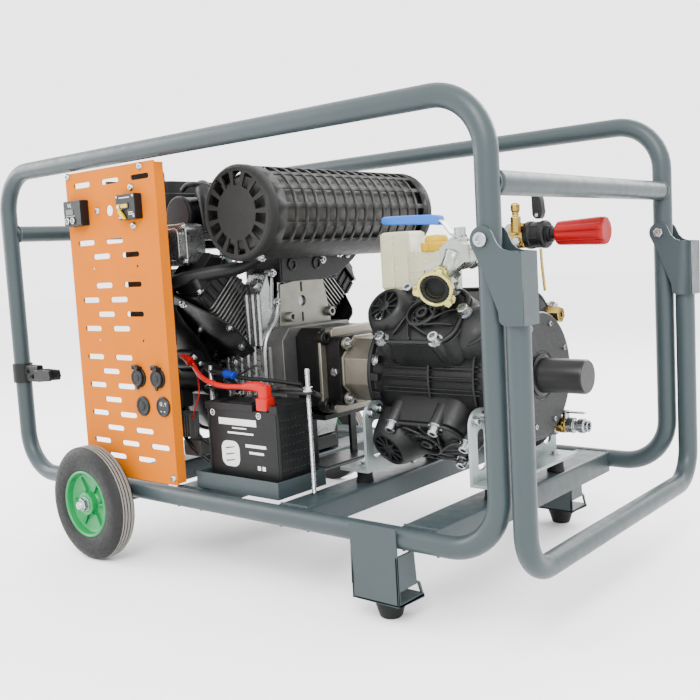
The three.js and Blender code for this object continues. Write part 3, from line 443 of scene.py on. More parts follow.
def weld(shape, centre, axis, r, bead=2.2):
    """Weld bead round a tube's end."""
    profile = [(r + bead * math.cos(a), bead * math.sin(a)) for a in [k * math.pi / 4 for k in range(8)]]
    shape.turn(centre, axis, profile + [profile[0]], 28)


for end, side in ENDS:
    y = side * LOOP_Y
    loop = Shape()
    corners = [(-UPRIGHT_X, y, LOW_Z), (UPRIGHT_X, y, LOW_Z), (UPRIGHT_X, y, HIGH_Z), (-UPRIGHT_X, y, HIGH_Z)]
    loop.tube(bend(corners, 80, 12, loop=True), TUBE, 32, loop=True)
    show(f"loop_tube_{end}", loop, PAINT, replaces=f"frame_loop_{end}", bevel=0)

for name, x in (("left", -UPRIGHT_X), ("right", UPRIGHT_X)):
    cross = Shape().rod((x, -284, CROSS_Z), (x, 284, CROSS_Z), TUBE, n=32)
    for y in (-276, 276):
        weld(cross, (x, y, CROSS_Z), (0, 1, 0), TUBE)
    show(f"cross_bar_{name}", cross, PAINT, replaces=f"cross_tube_{name}", bevel=0)

RAIL_TOP, RAIL_LOW, RAIL_HALF, WALL = 144.0, 106.0, 31.5, 4.0
RAILS = {"wheels": -281.0, "engine": -75.0, "gearbox": 174.5, "pump": 417.5}


def rail(x):
    inner = RAIL_HALF - WALL
    channel = [(x - RAIL_HALF, RAIL_LOW), (x - inner, RAIL_LOW), (x - inner, RAIL_TOP - WALL),
               (x + inner, RAIL_TOP - WALL), (x + inner, RAIL_LOW), (x + RAIL_HALF, RAIL_LOW)]
    channel += arc(x + RAIL_HALF - 5, RAIL_TOP - 5, 5, 0, 90, 4)
    channel += arc(x - RAIL_HALF + 5, RAIL_TOP - 5, 5, 90, 180, 4)
    return Shape().slab(channel, "y", -283, 283)


for name, x in RAILS.items():
    beam = rail(x)
    if name == "wheels":
        for y in (-240, 240):
            beam.slab(rounded(x - 14, x + 14, 90, 143, 6), "y", y - 12, y + 12)
    for side in (FRONT, REAR):
        seam = [(x - RAIL_HALF + 2 + k * 7.4, side * 277.5, RAIL_TOP - 0.4 + 0.5 * (k % 2)) for k in range(9)]
        beam.tube(seam, 1.9, 8)
    show(f"rail_{name}_beam", beam, PAINT, replaces=f"rail_{name}", bevel=0.6)

LEG_X0, LEG_X1, SOLE, SHEET = 313.0, 397.0, 33.0, 3.5
for end, plate_y, plate_top, foot_y in (("front", -311.4, 147.0, -273.0), ("rear", 229.0, 105.7, 271.0)):
    leg = Shape()
    leg.slab(rounded(LEG_X0, LEG_X1, SOLE, plate_top, 3), "y", plate_y, plate_y + SHEET)
    leg.box(LEG_X0, LEG_X1, plate_y, plate_y + 62, SOLE, SOLE + SHEET)
    top = min(plate_top, 105.7)
    flange = [(plate_y, SOLE + 22), (plate_y + 53, SOLE + 22), (plate_y + 46, SOLE + 27), (plate_y + 42, top),
              (plate_y, top)]
    lower = [(plate_y, SOLE), (plate_y + 62, SOLE), (plate_y + 53, SOLE + 22), (plate_y + 49, SOLE + 22),
             (plate_y + 57, SOLE + 3), (plate_y + 5, SOLE + 3), (plate_y + 5, SOLE + 22),
             (plate_y, SOLE + 22)]
    for x in (LEG_X0, LEG_X1 - SHEET):
        leg.slab(flange, "x", x, x + SHEET)
        leg.slab(lower, "x", x, x + SHEET)
    leg.tube([(LEG_X0 + 6 + k * 9, plate_y + 4, top + 0.5 * (k % 2)) for k in range(9)], 1.8, 8)
    show(f"leg_sheet_{end}", leg, PAINT, replaces=f"leg_{end}", bevel=0.9)
    pad = Shape().turn((353, foot_y, 0), UP, [(0.1, 3), (9, 3), (10, 0.2), (15, 0.2), (17, 2), (20.5, 14),
                                              (24.5, 27), (25, 31), (23, 32.7), (0.1, 32.7)], 36)
    show(f"foot_pad_{end}", pad, RUBBER, replaces=f"rubber_foot_{end}", bevel=0)

# ---------------------------------------------------------------- wheels
BOSS = 21.0
TYRE_PROFILE = [(62, 319), (62, 354.5), (66, 356.8), (74, 358), (84, 358.4), (92, 357.2), (98, 353.8),
                (102.4, 350.5)]
for groove in (344.5, 338.0, 331.5):
    TYRE_PROFILE += [(105, groove + 2.4), (105, groove + 1.2), (102.4, groove + 0.9), (102.4, groove - 0.9),
                     (105, groove - 1.2), (105, groove - 2.4)]
TYRE_PROFILE += [(104.6, 325), (102.4, 321.5), (98, 318.6), (90, 316.4), (76, 316.2), (66, 317.4), (62, 319)]
RIM_PROFILE = [(7.4, 317), (BOSS, 317), (BOSS, 332), (56, 336), (58, 321), (61.7, 320), (61.7, 354.8),
               (58.6, 356.4), (56.4, 354), (54.5, 343), (50, 340), (27, 337.5), (BOSS + 2, 339),
               (BOSS, 342), (BOSS, 353.2), (19.4, 354.5), (14.5, 354.5), (13.8, 352), (7.4, 352),
               (7.4, 317)]
for end, side in ENDS:
    body = f"wheel_{end}"
    centre = (WHEEL_X, 0, WHEEL_R)
    tyre = Shape().turn(centre, (0, side, 0), TYRE_PROFILE, 96)
    show(f"wheel_tyre_{end}", tyre, TYRE, body, f"tyre_{end}", bevel=0, angle=40)
    rim = Shape().turn(centre, (0, side, 0), RIM_PROFILE, 64)
    for k in range(6):
        rim.at = (Matrix.Translation(centre) @ Matrix.Rotation(k * math.pi / 3, 4, "Y"))
        rib = [(BOSS - 1, side * 340), (BOSS + 4, side * 344), (48, side * 342.5), (54, side * 339.5),
               (54, side * 330), (BOSS - 1, side * 330)]
        rim.rings([[(u, v, w) for u, v in rib] for w in (-2, 2)])
    rim.at = Matrix.Identity(4)
    show(f"wheel_rim_{end}", rim, GREEN, body, f"rim_{end}", bevel=0.7, angle=30)
    seal = Shape().turn(centre, (0, side, 0), band(7.6, 13.7, 350.5, 352.8), 32)
    show(f"wheel_bearing_{end}", seal, RUBBER, body, bevel=0.3)

axle = Shape().rod((WHEEL_X, -366, WHEEL_R), (WHEEL_X, 366, WHEEL_R), 7)
for side in (FRONT, REAR):
    centre, axis = (WHEEL_X, 0, WHEEL_R), (0, side, 0)
    axle.turn(centre, axis, [(12, 310), (12, 316.6), (8, 316.6), (8, 310), (12, 310)], 24)
    axle.turn(centre, axis, disc(13.5, 353.4, 355), 28)
    axle.turn(centre, axis, [(12.2, 354.6), (12.2, 362.5), (10.6, 364), (0.1, 364)], 6)
    axle.turn(centre, axis, [(9.6, 362), (9, 366), (6.8, 369.3), (3.4, 370.4), (0.1, 370.5)], 20)
show("axle_and_nuts", axle, ZINC, replaces="wheel_axle", bevel=0.5)

# ---------------------------------------------------------------- handle
PIVOT_X, PIVOT_Z, REACH = 555.5, 540.0, 54.8
grip = Shape()
grip.tube(bend([(591.5, -LOOP_Y, 500), (591.5, -LOOP_Y, 107), (591.5, LOOP_Y, 107), (591.5, LOOP_Y, 500)],
               56, 12), TUBE, 32)
show("handle_bar", grip, PAINT, "handle", "handle_tube", bevel=0)


def bracket_outline():
    low = PIVOT_Z - 108
    skirt = [(PIVOT_X - 15.4, PIVOT_Z - 7), (PIVOT_X - 3, PIVOT_Z - 32), (PIVOT_X + 20, PIVOT_Z - 90)]
    skirt += arc(PIVOT_X + 31, low + 11, 11, 205, 270, 4)
    skirt += [(PIVOT_X + REACH, low), (PIVOT_X + REACH, PIVOT_Z - 17), (PIVOT_X + 36, PIVOT_Z - 15.5)]
    skirt += [(PIVOT_X + 28, PIVOT_Z - 12.5), (PIVOT_X + 21.5, PIVOT_Z - 6), (PIVOT_X + 17.4, PIVOT_Z + 2)]
    return skirt + arc(PIVOT_X, PIVOT_Z, 17, 20, 205, 14)


for end, side in ENDS:
    bracket = Shape()
    for near in (LOOP_Y - TUBE - 4.4, LOOP_Y + TUBE + 1.4):
        bracket.slab(bracket_outline(), "y", side * near, side * (near + 3))
    web = LOOP_Y - TUBE - 4.4, LOOP_Y + TUBE + 4.4
    bracket.box(PIVOT_X + REACH - 3, PIVOT_X + REACH, side * web[0], side * web[1], PIVOT_Z - 108,
                PIVOT_Z - 17)
    show(f"bracket_{end}", bracket, PAINT, "handle", f"handle_bracket_{end}", bevel=1.4, segments=3)
    pin = Shape().rod((PIVOT_X, side * 266, PIVOT_Z), (PIVOT_X, side * 313, PIVOT_Z), 5)
    pin.turn((PIVOT_X, side * 311, PIVOT_Z), (0, side, 0), [(9.5, 0), (9.5, 5.6), (8.6, 6.8), (5, 6.8),
                                                            (4.4, 3), (0.1, 3)], 24)
    pin.turn((PIVOT_X, side * 273, PIVOT_Z), (0, -side, 0), [(8.5, 0), (8.5, 6.5), (7.5, 7.4), (0.1, 7.4)], 6)
    show(f"pivot_bolt_{end}", pin, ZINC, "handle", bevel=0.4)

# ---------------------------------------------------------------- lance clip
CLIP_Z = 330.0
clip = Shape()
clip.turn((-UPRIGHT_X, -LOOP_Y, CLIP_Z), UP, band(16.4, 20, -19, 19), 36)
clip.slab(rounded(-LOOP_Y - 7, -LOOP_Y + 7, CLIP_Z - 17, CLIP_Z + 17, 4), "x", -537, -492)
clip.slab(rounded(-LOOP_Y - 12.5, -LOOP_Y + 12.5, CLIP_Z - 15, CLIP_Z + 9, 3), "x", -496, -479)
for y in (-LOOP_Y - 13, -LOOP_Y + 7.2):
    clip.slab([(-481, CLIP_Z - 15), (-444, CLIP_Z - 12), (-439.6, CLIP_Z - 4), (-443, CLIP_Z + 8),
               (-481, CLIP_Z + 9)], "y", y, y + 5.8)
clip.bolt((-UPRIGHT_X + 28, -LOOP_Y - 7, CLIP_Z + 4), FRONTWARD, 4, 4)
clip.bolt((-UPRIGHT_X + 44, -LOOP_Y - 7, CLIP_Z - 6), FRONTWARD, 4, 4)
show("lance_holder", clip, PLASTIC, replaces="lance_clip", bevel=1.0)

# ---------------------------------------------------------------- control panel
FACE = -300.3
PANEL_X0, PANEL_X1, PANEL_Z0, PANEL_Z1 = -337.0, -80.0, 150.0, 708.0
WIDE_ROW, NARROW_ROW, ROUND_ROWS = (-288, -204, -120), (-245, -161), (8, 13)
SLOT_HALF, SLOT_R = 24.5, 4.6


def slot_outline(x, z):
    reach = SLOT_HALF - SLOT_R
    return arc(x + reach, z, SLOT_R, -90, 90, 8) + arc(x - reach, z, SLOT_R, 90, 270, 8)


openings = []
for row in range(20):
    z = 188 + 26.1 * row
    if row in ROUND_ROWS:
        openings += [arc(x, z + 5, 2.6, 0, 345, 15) for x in (-272, -144)]
        continue
    for x in WIDE_ROW if row % 2 else NARROW_ROW:
        beside_devices = 590 < z < 675
        under_sockets = x > -200 and 255 < z < 370
        plain_right = x > -130 and 220 < z < 675
        if not (beside_devices or under_sockets or plain_right):
            openings.append(slot_outline(x, z))
openings.append(arc(-211, 633, 9.5, 0, 345, 23))
plate = Shape()
place = Matrix.Translation((0, -300, 0)) @ FACING_FRONT @ Matrix.Translation((0, 0, -2))
plate.add(*flat_plate(rounded(PANEL_X0, PANEL_X1, PANEL_Z0, PANEL_Z1, 2.5), openings, 2.0, place))
for x in (PANEL_X0, PANEL_X1 - 2):
    plate.box(x + 0.2, x + 1.8, -299.4, -280.2, PANEL_Z0 + 3, PANEL_Z1 - 3)
show("panel_sheet", plate, ORANGE, replaces="control_panel", bevel=0)

screws = Shape()
for x, z in ((-329, 703), (-116, 701), (-145, 668), (-145, 602), (-245, 635), (-89, 162), (-329, 158)):
    screws.turn((x, FACE, z), FRONTWARD, [(6.4, 0), (6.2, 1.2), (4.6, 3.2), (2.4, 3.8), (2.0, 2.2),
                                          (0.1, 2.2)], 20)
show("panel_screws", screws, ZINC, bevel=0)

# Hour meter: bezel, screen, two keys.
meter = Shape()
meter.slab(rounded(-327, -272, 611, 657, 2.5), "y", FACE - 15.5, FACE)
frame_y = FACE - 18
meter.slab(rounded(-325.5, -289.5, 612.5, 655.5, 2), "y", frame_y + 2.4, FACE - 15)
meter.slab(rounded(-288, -273, 612.5, 655.5, 2), "y", frame_y + 0.8, FACE - 15)
show("meter_case", meter, PLASTIC, replaces="hour_meter", bevel=0.8)
screen = Shape().slab(rounded(-319, -297.5, 632, 641.5, 1), "y", frame_y + 1.7, frame_y + 2.8)
show("meter_screen", screen, SCREEN, bevel=0.3)
print_marks = Shape()
for x in (-312, -306):
    print_marks.box(x, x + 1.2, frame_y + 2.0, frame_y + 2.6, 646, 652)
    print_marks.box(x, x + 4, frame_y + 2.0, frame_y + 2.6, 646, 647)
print_marks.box(-321, -293, frame_y + 2.0, frame_y + 2.6, 629.4, 629.9)
show("meter_marks", print_marks, WHITE, bevel=0)
for name, x in (("left", -314), ("right", -298)):
    key = Shape().turn((x, FACE - 12.5, 621), FRONTWARD, [(6, 0), (6, 6.2), (5.3, 6.9), (4.1, 6.9),
                                                          (3.9, 6.2), (0.1, 6.2)], 28)
    body = f"meter_key_{name}"
    show(f"meter_key_cap_{name}", key, ZINC, body, f"meter_button_{name}", bevel=0)
    dot = Shape().turn((x, FACE - 18.6, 621), FRONTWARD, stub(3.7, -0.5, 0.25), 24)
    show(f"meter_key_face_{name}", dot, GLOSS, body, bevel=0)
    bar = Shape().box(x - 1.8, x + 1.8, FACE - 19.2, FACE - 18.7, 620.6, 621.4)
    if name == "right":
        bar.box(x - 0.4, x + 0.4, FACE - 19.2, FACE - 18.7, 619.2, 622.8)
    show(f"meter_key_mark_{name}", bar, WHITE, body, bevel=0)

# Circuit breaker.
front = FACE - 16
breaker = Shape()
breaker.slab(rounded(-170, -118, 613, 656, 2), "y", front + 5, FACE)
breaker.slab([(-170, 640)] + [(-170, 656), (-118, 656), (-118, 613), (-139, 613), (-139, 631), (-154, 631),
                              (-154, 640)], "y", front, front + 6)
breaker.slab(rounded(-158, -134, 630.5, 641.5, 3), "y", front - 1, front + 3)
show("breaker_case", breaker, PLASTIC, replaces="circuit_breaker", bevel=0.7)
rivets = Shape()
for x, z in ((-166, 652), (-122, 652), (-122, 617.5), (-166.5, 617)):
    rivets.turn((x, front if z > 613 and x > -140 or z > 640 else front + 5, z), (0, -1, 0),
                [(2.4, 0), (2.1, 0.9), (1.0, 1.3), (0.1, 1.3)], 14)
show("breaker_rivets", rivets, ZINC, bevel=0)
lines = Shape()
for x0, x1, z in ((-160, -131, 649.5), (-136, -124, 624), (-136, -121, 620.5)):
    lines.box(x0, x1, front - 0.25, front + 0.2, z, z + 1.3)
show("breaker_marks", lines, WHITE, bevel=0)
trip = Shape().slab(rounded(-155.6, -136.4, 632.7, 639.3, 3.2, 6), "y", front - 1.8, front + 6.4)
show("trip_key_cap", trip, YELLOW, "trip_key", "trip_button", bevel=0.6)
lever = Shape()
lever.turn((-163, front + 0.5, 635), (0, 1, 0), [(0.1, -0.9), (3, -0.9), (3.2, 0), (5.9, 0), (5.9, 4.4),
                                                 (3, 4.4), (3, 11), (0.1, 11)], 28)
lever.slab([(-166, 631), (-160, 629), (-149.5, 615.5), (-149, 613.8), (-152, 613.6), (-159, 616),
            (-168, 627)], "y", front + 0.7, front + 4.8)
show("reset_blade", lever, YELLOW, "reset_lever", "breaker_lever", bevel=0.7)
cap = Shape().turn((-163, front - 0.3, 635), FRONTWARD, [(3.6, -0.5), (3.4, 0.6), (1.6, 1.0), (0.1, 1.0)], 20)
show("reset_pin_head", cap, ZINC, "reset_lever", bevel=0)

# Round sockets with flip covers, a blank cap and a voltmeter.
for name, x in (("left", -161.4), ("right", -109.0)):
    z = 337
    socket = Shape()
    socket.turn((x, FACE, z), FRONTWARD, [(10.6, -26), (13.4, -26), (13.4, -0.5), (17.4, 0), (17.4, 2.6),
                                          (16.4, 4), (11.6, 4), (10.6, 3), (10.6, -26)], 36)
    socket.turn((x, FACE, z), FRONTWARD, [(0.1, -27), (11, -27), (11, -24), (3, -24), (3, -8), (0.1, -8)], 20)
    for dx in (-6.5, 6.5):
        ear = arc(FACE - 9, z + 21, 2.5, 0, 180, 6) + [(FACE - 11.4, z + 15.3), (FACE, z + 15.3),
                                                       (FACE, z + 19)]
        socket.slab(ear, "x", x + dx - 1.5, x + dx + 1.5)
    socket.rod((x - 7.4, FACE - 9, z + 21), (x + 7.4, FACE - 9, z + 21), 1.2, n=12)
    show(f"socket_body_{name}", socket, PLASTIC, replaces=f"socket_{name}", bevel=0.4)
    cover = Shape()
    cover.turn((x, FACE - 4.6, z), FRONTWARD, [(0.1, 0), (15.2, 0), (15.2, 2.6), (14.2, 3.8), (12.4, 3.9),
                                               (11.6, 2.9), (6.4, 2.9), (5.8, 3.9), (0.1, 4.0)], 36)
    cover.slab([(x - 4, z - 13.5), (x + 4, z - 13.5), (x + 3, z - 19), (x + 1.6, z - 21), (x - 1.6, z - 21),
                (x - 3, z - 19)], "y", FACE - 8.2, FACE - 4.8)
    cover.turn((x - 4.3, FACE - 9, z + 21), ALONG, band(1.9, 3, 0, 8.6), 20)
    cover.box(x - 4.3, x + 4.3, FACE - 10.3, FACE - 7.9, z + 13.4, z + 18.8)
    show(f"cover_lid_{name}", cover, PLASTIC, f"cover_{name}", f"socket_cover_{name}", bevel=0.4)

blank = Shape().turn((-156.6, FACE, 286.2), FRONTWARD, [(17.6, 0), (17.6, 2.4), (16.2, 3.8), (12.6, 3.8),
                                                        (12, 3.0), (7.4, 3.0), (6.6, 4.4), (0.1, 4.8)], 40)
show("blank_cap", blank, PLASTIC, bevel=0.3)
gauge = Shape().turn((-101.3, FACE, 287.8), FRONTWARD, [(17.6, 0), (17.6, 2.4), (16.2, 3.8), (14.4, 3.8),
                                                        (13.8, 2.6), (0.1, 2.6)], 40)
show("voltmeter", gauge, GLOSS, bevel=0.3)
SEGMENTS = {"1": "bc", "2": "abged", "4": "fgbc", ".": "."}


def digit(shape, x, z, w, h, lit, y):
    """Seven-segment digit out of thin bars."""
    t = w * 0.2
    bars = {"a": (0, w, h - t, h), "g": (0, w, h / 2 - t / 2, h / 2 + t / 2), "d": (0, w, 0, t),
            "f": (0, t, h / 2, h), "b": (w - t, w, h / 2, h), "e": (0, t, 0, h / 2),
            "c": (w - t, w, 0, h / 2), ".": (w * 0.3, w * 0.6, 0, t * 1.3)}
    for key in lit:
        a, b, c, d = bars[key]
        shape.box(x + a, x + b, y, y + 0.4, z + c, z + d)


marks = Shape()
for k, char in enumerate("12.4"):
    digit(marks, -110.5 + 5 * k, 289.5, 3.4, 6.2, SEGMENTS[char], FACE - 2.9)
for x in (-106, -97):
    marks.turn((x, FACE - 2.6, 279.5), FRONTWARD, stub(1.1, 0, 0.4), 14)
show("voltmeter_marks", marks, WHITE, bevel=0)

# ---------------------------------------------------------------- battery
tray = Shape().box(-62, 135, -272, -155, 144.3, 147.3)
for y in (-272, -158):
    tray.box(-62, 135, y, y + 3, 146, 173)
for x in (-62, 132):
    tray.box(x, x + 3, -271, -156, 146, 173)
show("battery_shelf", tray, PAINT, replaces="battery_tray", bevel=1.0)

case = Shape()
case.slab(rounded(-48.5, 121.5, -250.5, -166.5, 3), "z", 147.6, 282)
lid = [(-50, -252), (66, -252), (66, -227), (105, -227), (105, -252), (123, -252), (123, -165), (-12, -165),
       (-12, -195), (-44, -195), (-44, -165), (-50, -165)]
case.slab(lid, "z", 281, 293)
case.slab(rounded(2, 58, -246, -171, 3), "z", 292, 295)
case.slab(rounded(-42, -18, -246, -205, 3), "z", 292, 294.6)
for col in range(9):
    for row in range(7):
        case.turn((121.3, -241 + 8.5 * col, 268 - 14 * row), ALONG, [(2.4, 0), (0.8, 1.5), (0.1, 1.5)], 4,
                  math.pi / 4)
for y in (-248.5, -170.5):
    case.box(120, 122.6, y, y + 2, 160, 276)
for x in (-44, 116):
    case.box(x, x + 3, -251.8, -250, 156, 278)
show("battery_case", case, PLASTIC, replaces="battery", bevel=0.9)
posts = Shape()
for x, y in ((84, -238), (-30, -186)):
    posts.box(x - 7, x + 7, y - 6, y + 6, 281, 297)
    posts.rod((x, y, 297), (x, y, 302), 3.4, n=6)
show("battery_posts", posts, ZINC, bevel=0.6)

label = Shape()
mark = -250.75
label.slab([(-18, 256), (72, 256), (72, 267), (-18, 267)], "y", mark - 0.3, mark + 0.5)
for x0, x1, z0, z1 in ((14, 48, 250, 252), (2, 64, 241, 244), (44, 92, 220, 225), (52, 86, 209, 213),
                       (70, 77, 183, 190), (81, 88, 183, 190)):
    label.box(x0, x1, mark - 0.3, mark + 0.5, z0, z1)
label.slab(rounded(-15, 28, 184, 228, 14, 6), "y", mark - 0.3, mark + 0.5)
for x in (-33, 79):
    ring = [(5.4, -0.5), (5.4, 0.3), (4.4, 0.3), (4.4, -0.5), (5.4, -0.5)]
    label.turn((x, mark, 275), FRONTWARD, ring, 24)
    label.box(x - 2.6, x + 2.6, mark - 0.3, mark + 0.5, 274.5, 275.6)
label.box(78.5, 79.6, mark - 0.3, mark + 0.5, 272.4, 277.7)
show("battery_label", label, WHITE, bevel=0)
emblem = Shape()
for z in (194, 205, 216):
    emblem.slab([(-6, z), (14, z + 3), (19, z + 2), (-4, z - 2.5)], "y", mark - 0.6, mark + 0.3)
show("battery_emblem", emblem, SCREEN, bevel=0)

# Hold-down bar and threaded rods.
holddown = Shape().slab(rounded(-86, 170, -221, -203, 5), "z", 310, 315)
holddown.hose([(92, -215, 315), (112, -221, 318), (134, -218, 318), (154, -206, 313), (170, -192, 304)],
              4.2, 12)
show("holddown_bar", holddown, PLASTIC, replaces="battery_holddown", bevel=1.0)
studs = Shape()
for x, top in ((-74, 350), (158, 352)):
    threads = []
    z = 146.0
    while z < top - 2:
        threads += [(3.55, z), (4.05, z + 0.9)]
        z += 1.8
    studs.turn((x, -212, 0), UP, [(3.2, 144.4)] + threads + [(3, top)], 14)
    studs.turn((x, -212, 315), UP, [(9.5, 0), (9.5, 1.4), (4, 1.4)], 24)
    studs.turn((x, -212, 316.2), UP, [(7.3, 0), (7.5, 0.8), (7.5, 5.6), (6.6, 6.6), (4, 6.6)], 6)
show("holddown_rods", studs, ZINC, bevel=0)

POSITIVE = [(-128, -206, 352), (-108, -218, 344), (-80, -232, 334), (-45, -243, 326), (-8, -246, 321),
            (30, -244, 321), (62, -240, 322), (84, -238, 319)]
cable = Shape().hose(POSITIVE, 4.5, 16)
cable.tube(smooth_path([(40, -243.5, 321), (56, -241, 322.5), (74, -239, 321), (83, -238, 316)]),
           lambda t: 5.8 + 3.6 * min(1.0, 1.6 * t), 18)
cable.slab(rounded(74.5, 94, -247, -229, 5, 5), "z", 302.4, 325)
cable.slab(rounded(71, 97, -250, -226, 5, 5), "z", 283.5, 304)
cable.hose([(-110, -214, 340), (-116, -206, 318), (-112, -210, 296), (-120, -216, 268), (-134, -214, 245)],
           1.5, 8)
show("red_lead", cable, RED_CABLE, replaces="battery_cable", bevel=1.2)
leads = Shape()
leads.hose([(-96, -190, 346), (-84, -196, 338), (-40, -206, 333), (8, -210, 330), (70, -206, 328),
            (130, -196, 322)], 3.6, 12)
leads.hose([(-100, -198, 350), (-88, -206, 342), (-60, -212, 338), (-34, -206, 336)], 5.2, 12)
leads.hose([(-30, -190, 303), (-44, -184, 314), (-70, -170, 318), (-100, -150, 300)], 5, 12)
show("black_leads", leads, PLASTIC, bevel=0)
plug = Shape().rod((-36, -212, 336), (-10, -214, 334), 7.5, 6.5, 16)
show("blue_connector", plug, BLUE_CAP, bevel=1.2)
starter = Shape().rod((-175, -196, 356), (-128, -196, 356), 19, n=28)
starter.rod((-185, -176, 320), (-112, -176, 320), 30, n=32)
show("starter_motor", starter, BLACK_PAINT, bevel=1.5)
studs = Shape()
for x, y, z in ((-124, -206, 362), (-118, -198, 350), (-122, -212, 348)):
    studs.rod((x - 6, y, z), (x + 8, y, z), 2.6, n=12)
    studs.turn((x, y, z), ALONG, [(5.2, 0), (5.2, 4.4), (4.4, 5.2), (2.6, 5.2)], 6)
show("starter_terminals", studs, ZINC, bevel=0.3)
boots = Shape().hose([(-150, -214, 366), (-136, -214, 362), (-124, -214, 354)], lambda t: 4.5 + 3.5 * t, 14)
show("terminal_boot", boots, RED_CABLE, bevel=0.8)

# ---------------------------------------------------------------- engine
SHAFT_Z = 325.0
CASE_X0, CASE_X1 = -148.0, -40.0
case = Shape()
barrel = [(-80, 176), (80, 176), (104, 232), (104, 372), (64, 430), (52, 466), (-52, 466), (-64, 430),
          (-104, 372), (-104, 232)]
case.loft("x", [(CASE_X0, barrel), (CASE_X1 - 8, barrel),
                (CASE_X1, [(y * 0.95, SHAFT_Z + (z - SHAFT_Z) * 0.96) for y, z in barrel])])
for x, y0, y1, z0, z1, r in ((-52, -101, -99, 250, 392, 7), (-70, -104, -103, 262, 384, 6),
                             (-88, -104, -103, 250, 384, 7), (-106, -104, -103, 262, 380, 6),
                             (-126, -104, -103, 250, 376, 7), (-143, -104, -103, 262, 372, 5)):
    case.rod((x, y0, z0), (x, y1, z1), r, n=16)
    case.ball((x, y1, z1), r, 16)
case.hose([(-44, -100, 236), (-44, -103, 330), (-44, -97, 382), (-44, -66, 428), (-44, -54, 472)], 7, 14)
for x, y, z in ((-60, -108, 300), (-124, -108, 340), (-60, -92, 404)):
    case.turn((x, y + 6, z), FRONTWARD, [(13, -6), (12, 4), (10, 9), (0.1, 9)], 20)
tower = [(-50, 430), (50, 430), (46, 500), (34, 534), (-34, 534), (-84, 500), (-74, 450)]
case.slab(tower, "x", -96, -46)
for y in (-76, -58, -40, -22):
    case.rod((-47, y, 440), (-47, y + 6, 508), 4.5, n=12)
for y, z in ((-72, 506), (-64, 452), (30, 520)):
    case.turn((-48, y, z), ALONG, [(9.5, -6), (9.5, 5), (8.5, 7), (0.1, 7)], 20)
case.slab([(-104, 366), (-104, 470), (-84, 506), (-50, 512), (-50, 366)], "x", -94, -46)
for x in (-52, -66, -82):
    case.rod((x, -103, 372), (x, -103, 466), 6, n=16)
    case.ball((x, -103, 466), 6, 16)
case.turn((-60, -100, 486), (0, -0.8, 0.6), [(13, -8), (12, 3), (10, 7), (0.1, 7)], 20)
show("crankcase_casting", case, ALLOY, replaces="crankcase", bevel=2.0, segments=3)
bolts = Shape()
for x, y, z in ((-60, -111, 300), (-124, -111, 340), (-60, -95, 404)):
    bolts.bolt((x, y, z), FRONTWARD, 5.5, 5, True)
for y, z in ((-72, 506), (-64, 452), (30, 520)):
    bolts.bolt((-41, y, z), ALONG, 4.8, 5)
show("crankcase_bolts", bolts, ZINC, bevel=0)

pto = Shape()
outline = [(-66, 406), (80, 402), (66, 470), (60, 488), (-10, 490), (-60, 484)]
place = Matrix.Translation((-35.5, 0, 0)) @ FACING_SIDE @ Matrix.Translation((0, 0, -5))
holes = [arc(-2, 450, 10, 0, 340, 17), [(-5, 468), (0, 468), (0, 486), (-5, 486)],
         [(-5, 410), (0, 410), (0, 428), (-5, 428)]]
pto.add(*flat_plate(outline, holes, 5.0, place))
for y, z in ((-44, 422), (70, 424)):
    pto.turn((-38, y, z), ALONG, [(9.5, 0), (9.5, 14), (8.5, 15.5), (4.6, 15.5), (4.6, 4), (0.1, 4)], 24)
show("mounting_face", pto, PLATE, bevel=0.9)

FIN_TOP, HEAD_TOP = 226.0, 258.0
CYL_X0, CYL_X1 = -149.0, -86.0


def leaning(side):
    """Frame of a cylinder: z runs up its axis, y points towards its upper side."""
    tilt = Matrix(((1, 0, 0), (0, -side, 0), (0, 0, 1))).to_4x4()
    return Matrix.Translation((0, 0, SHAFT_Z)) @ Matrix.Rotation(math.radians(-45 * side), 4, "X") @ tilt


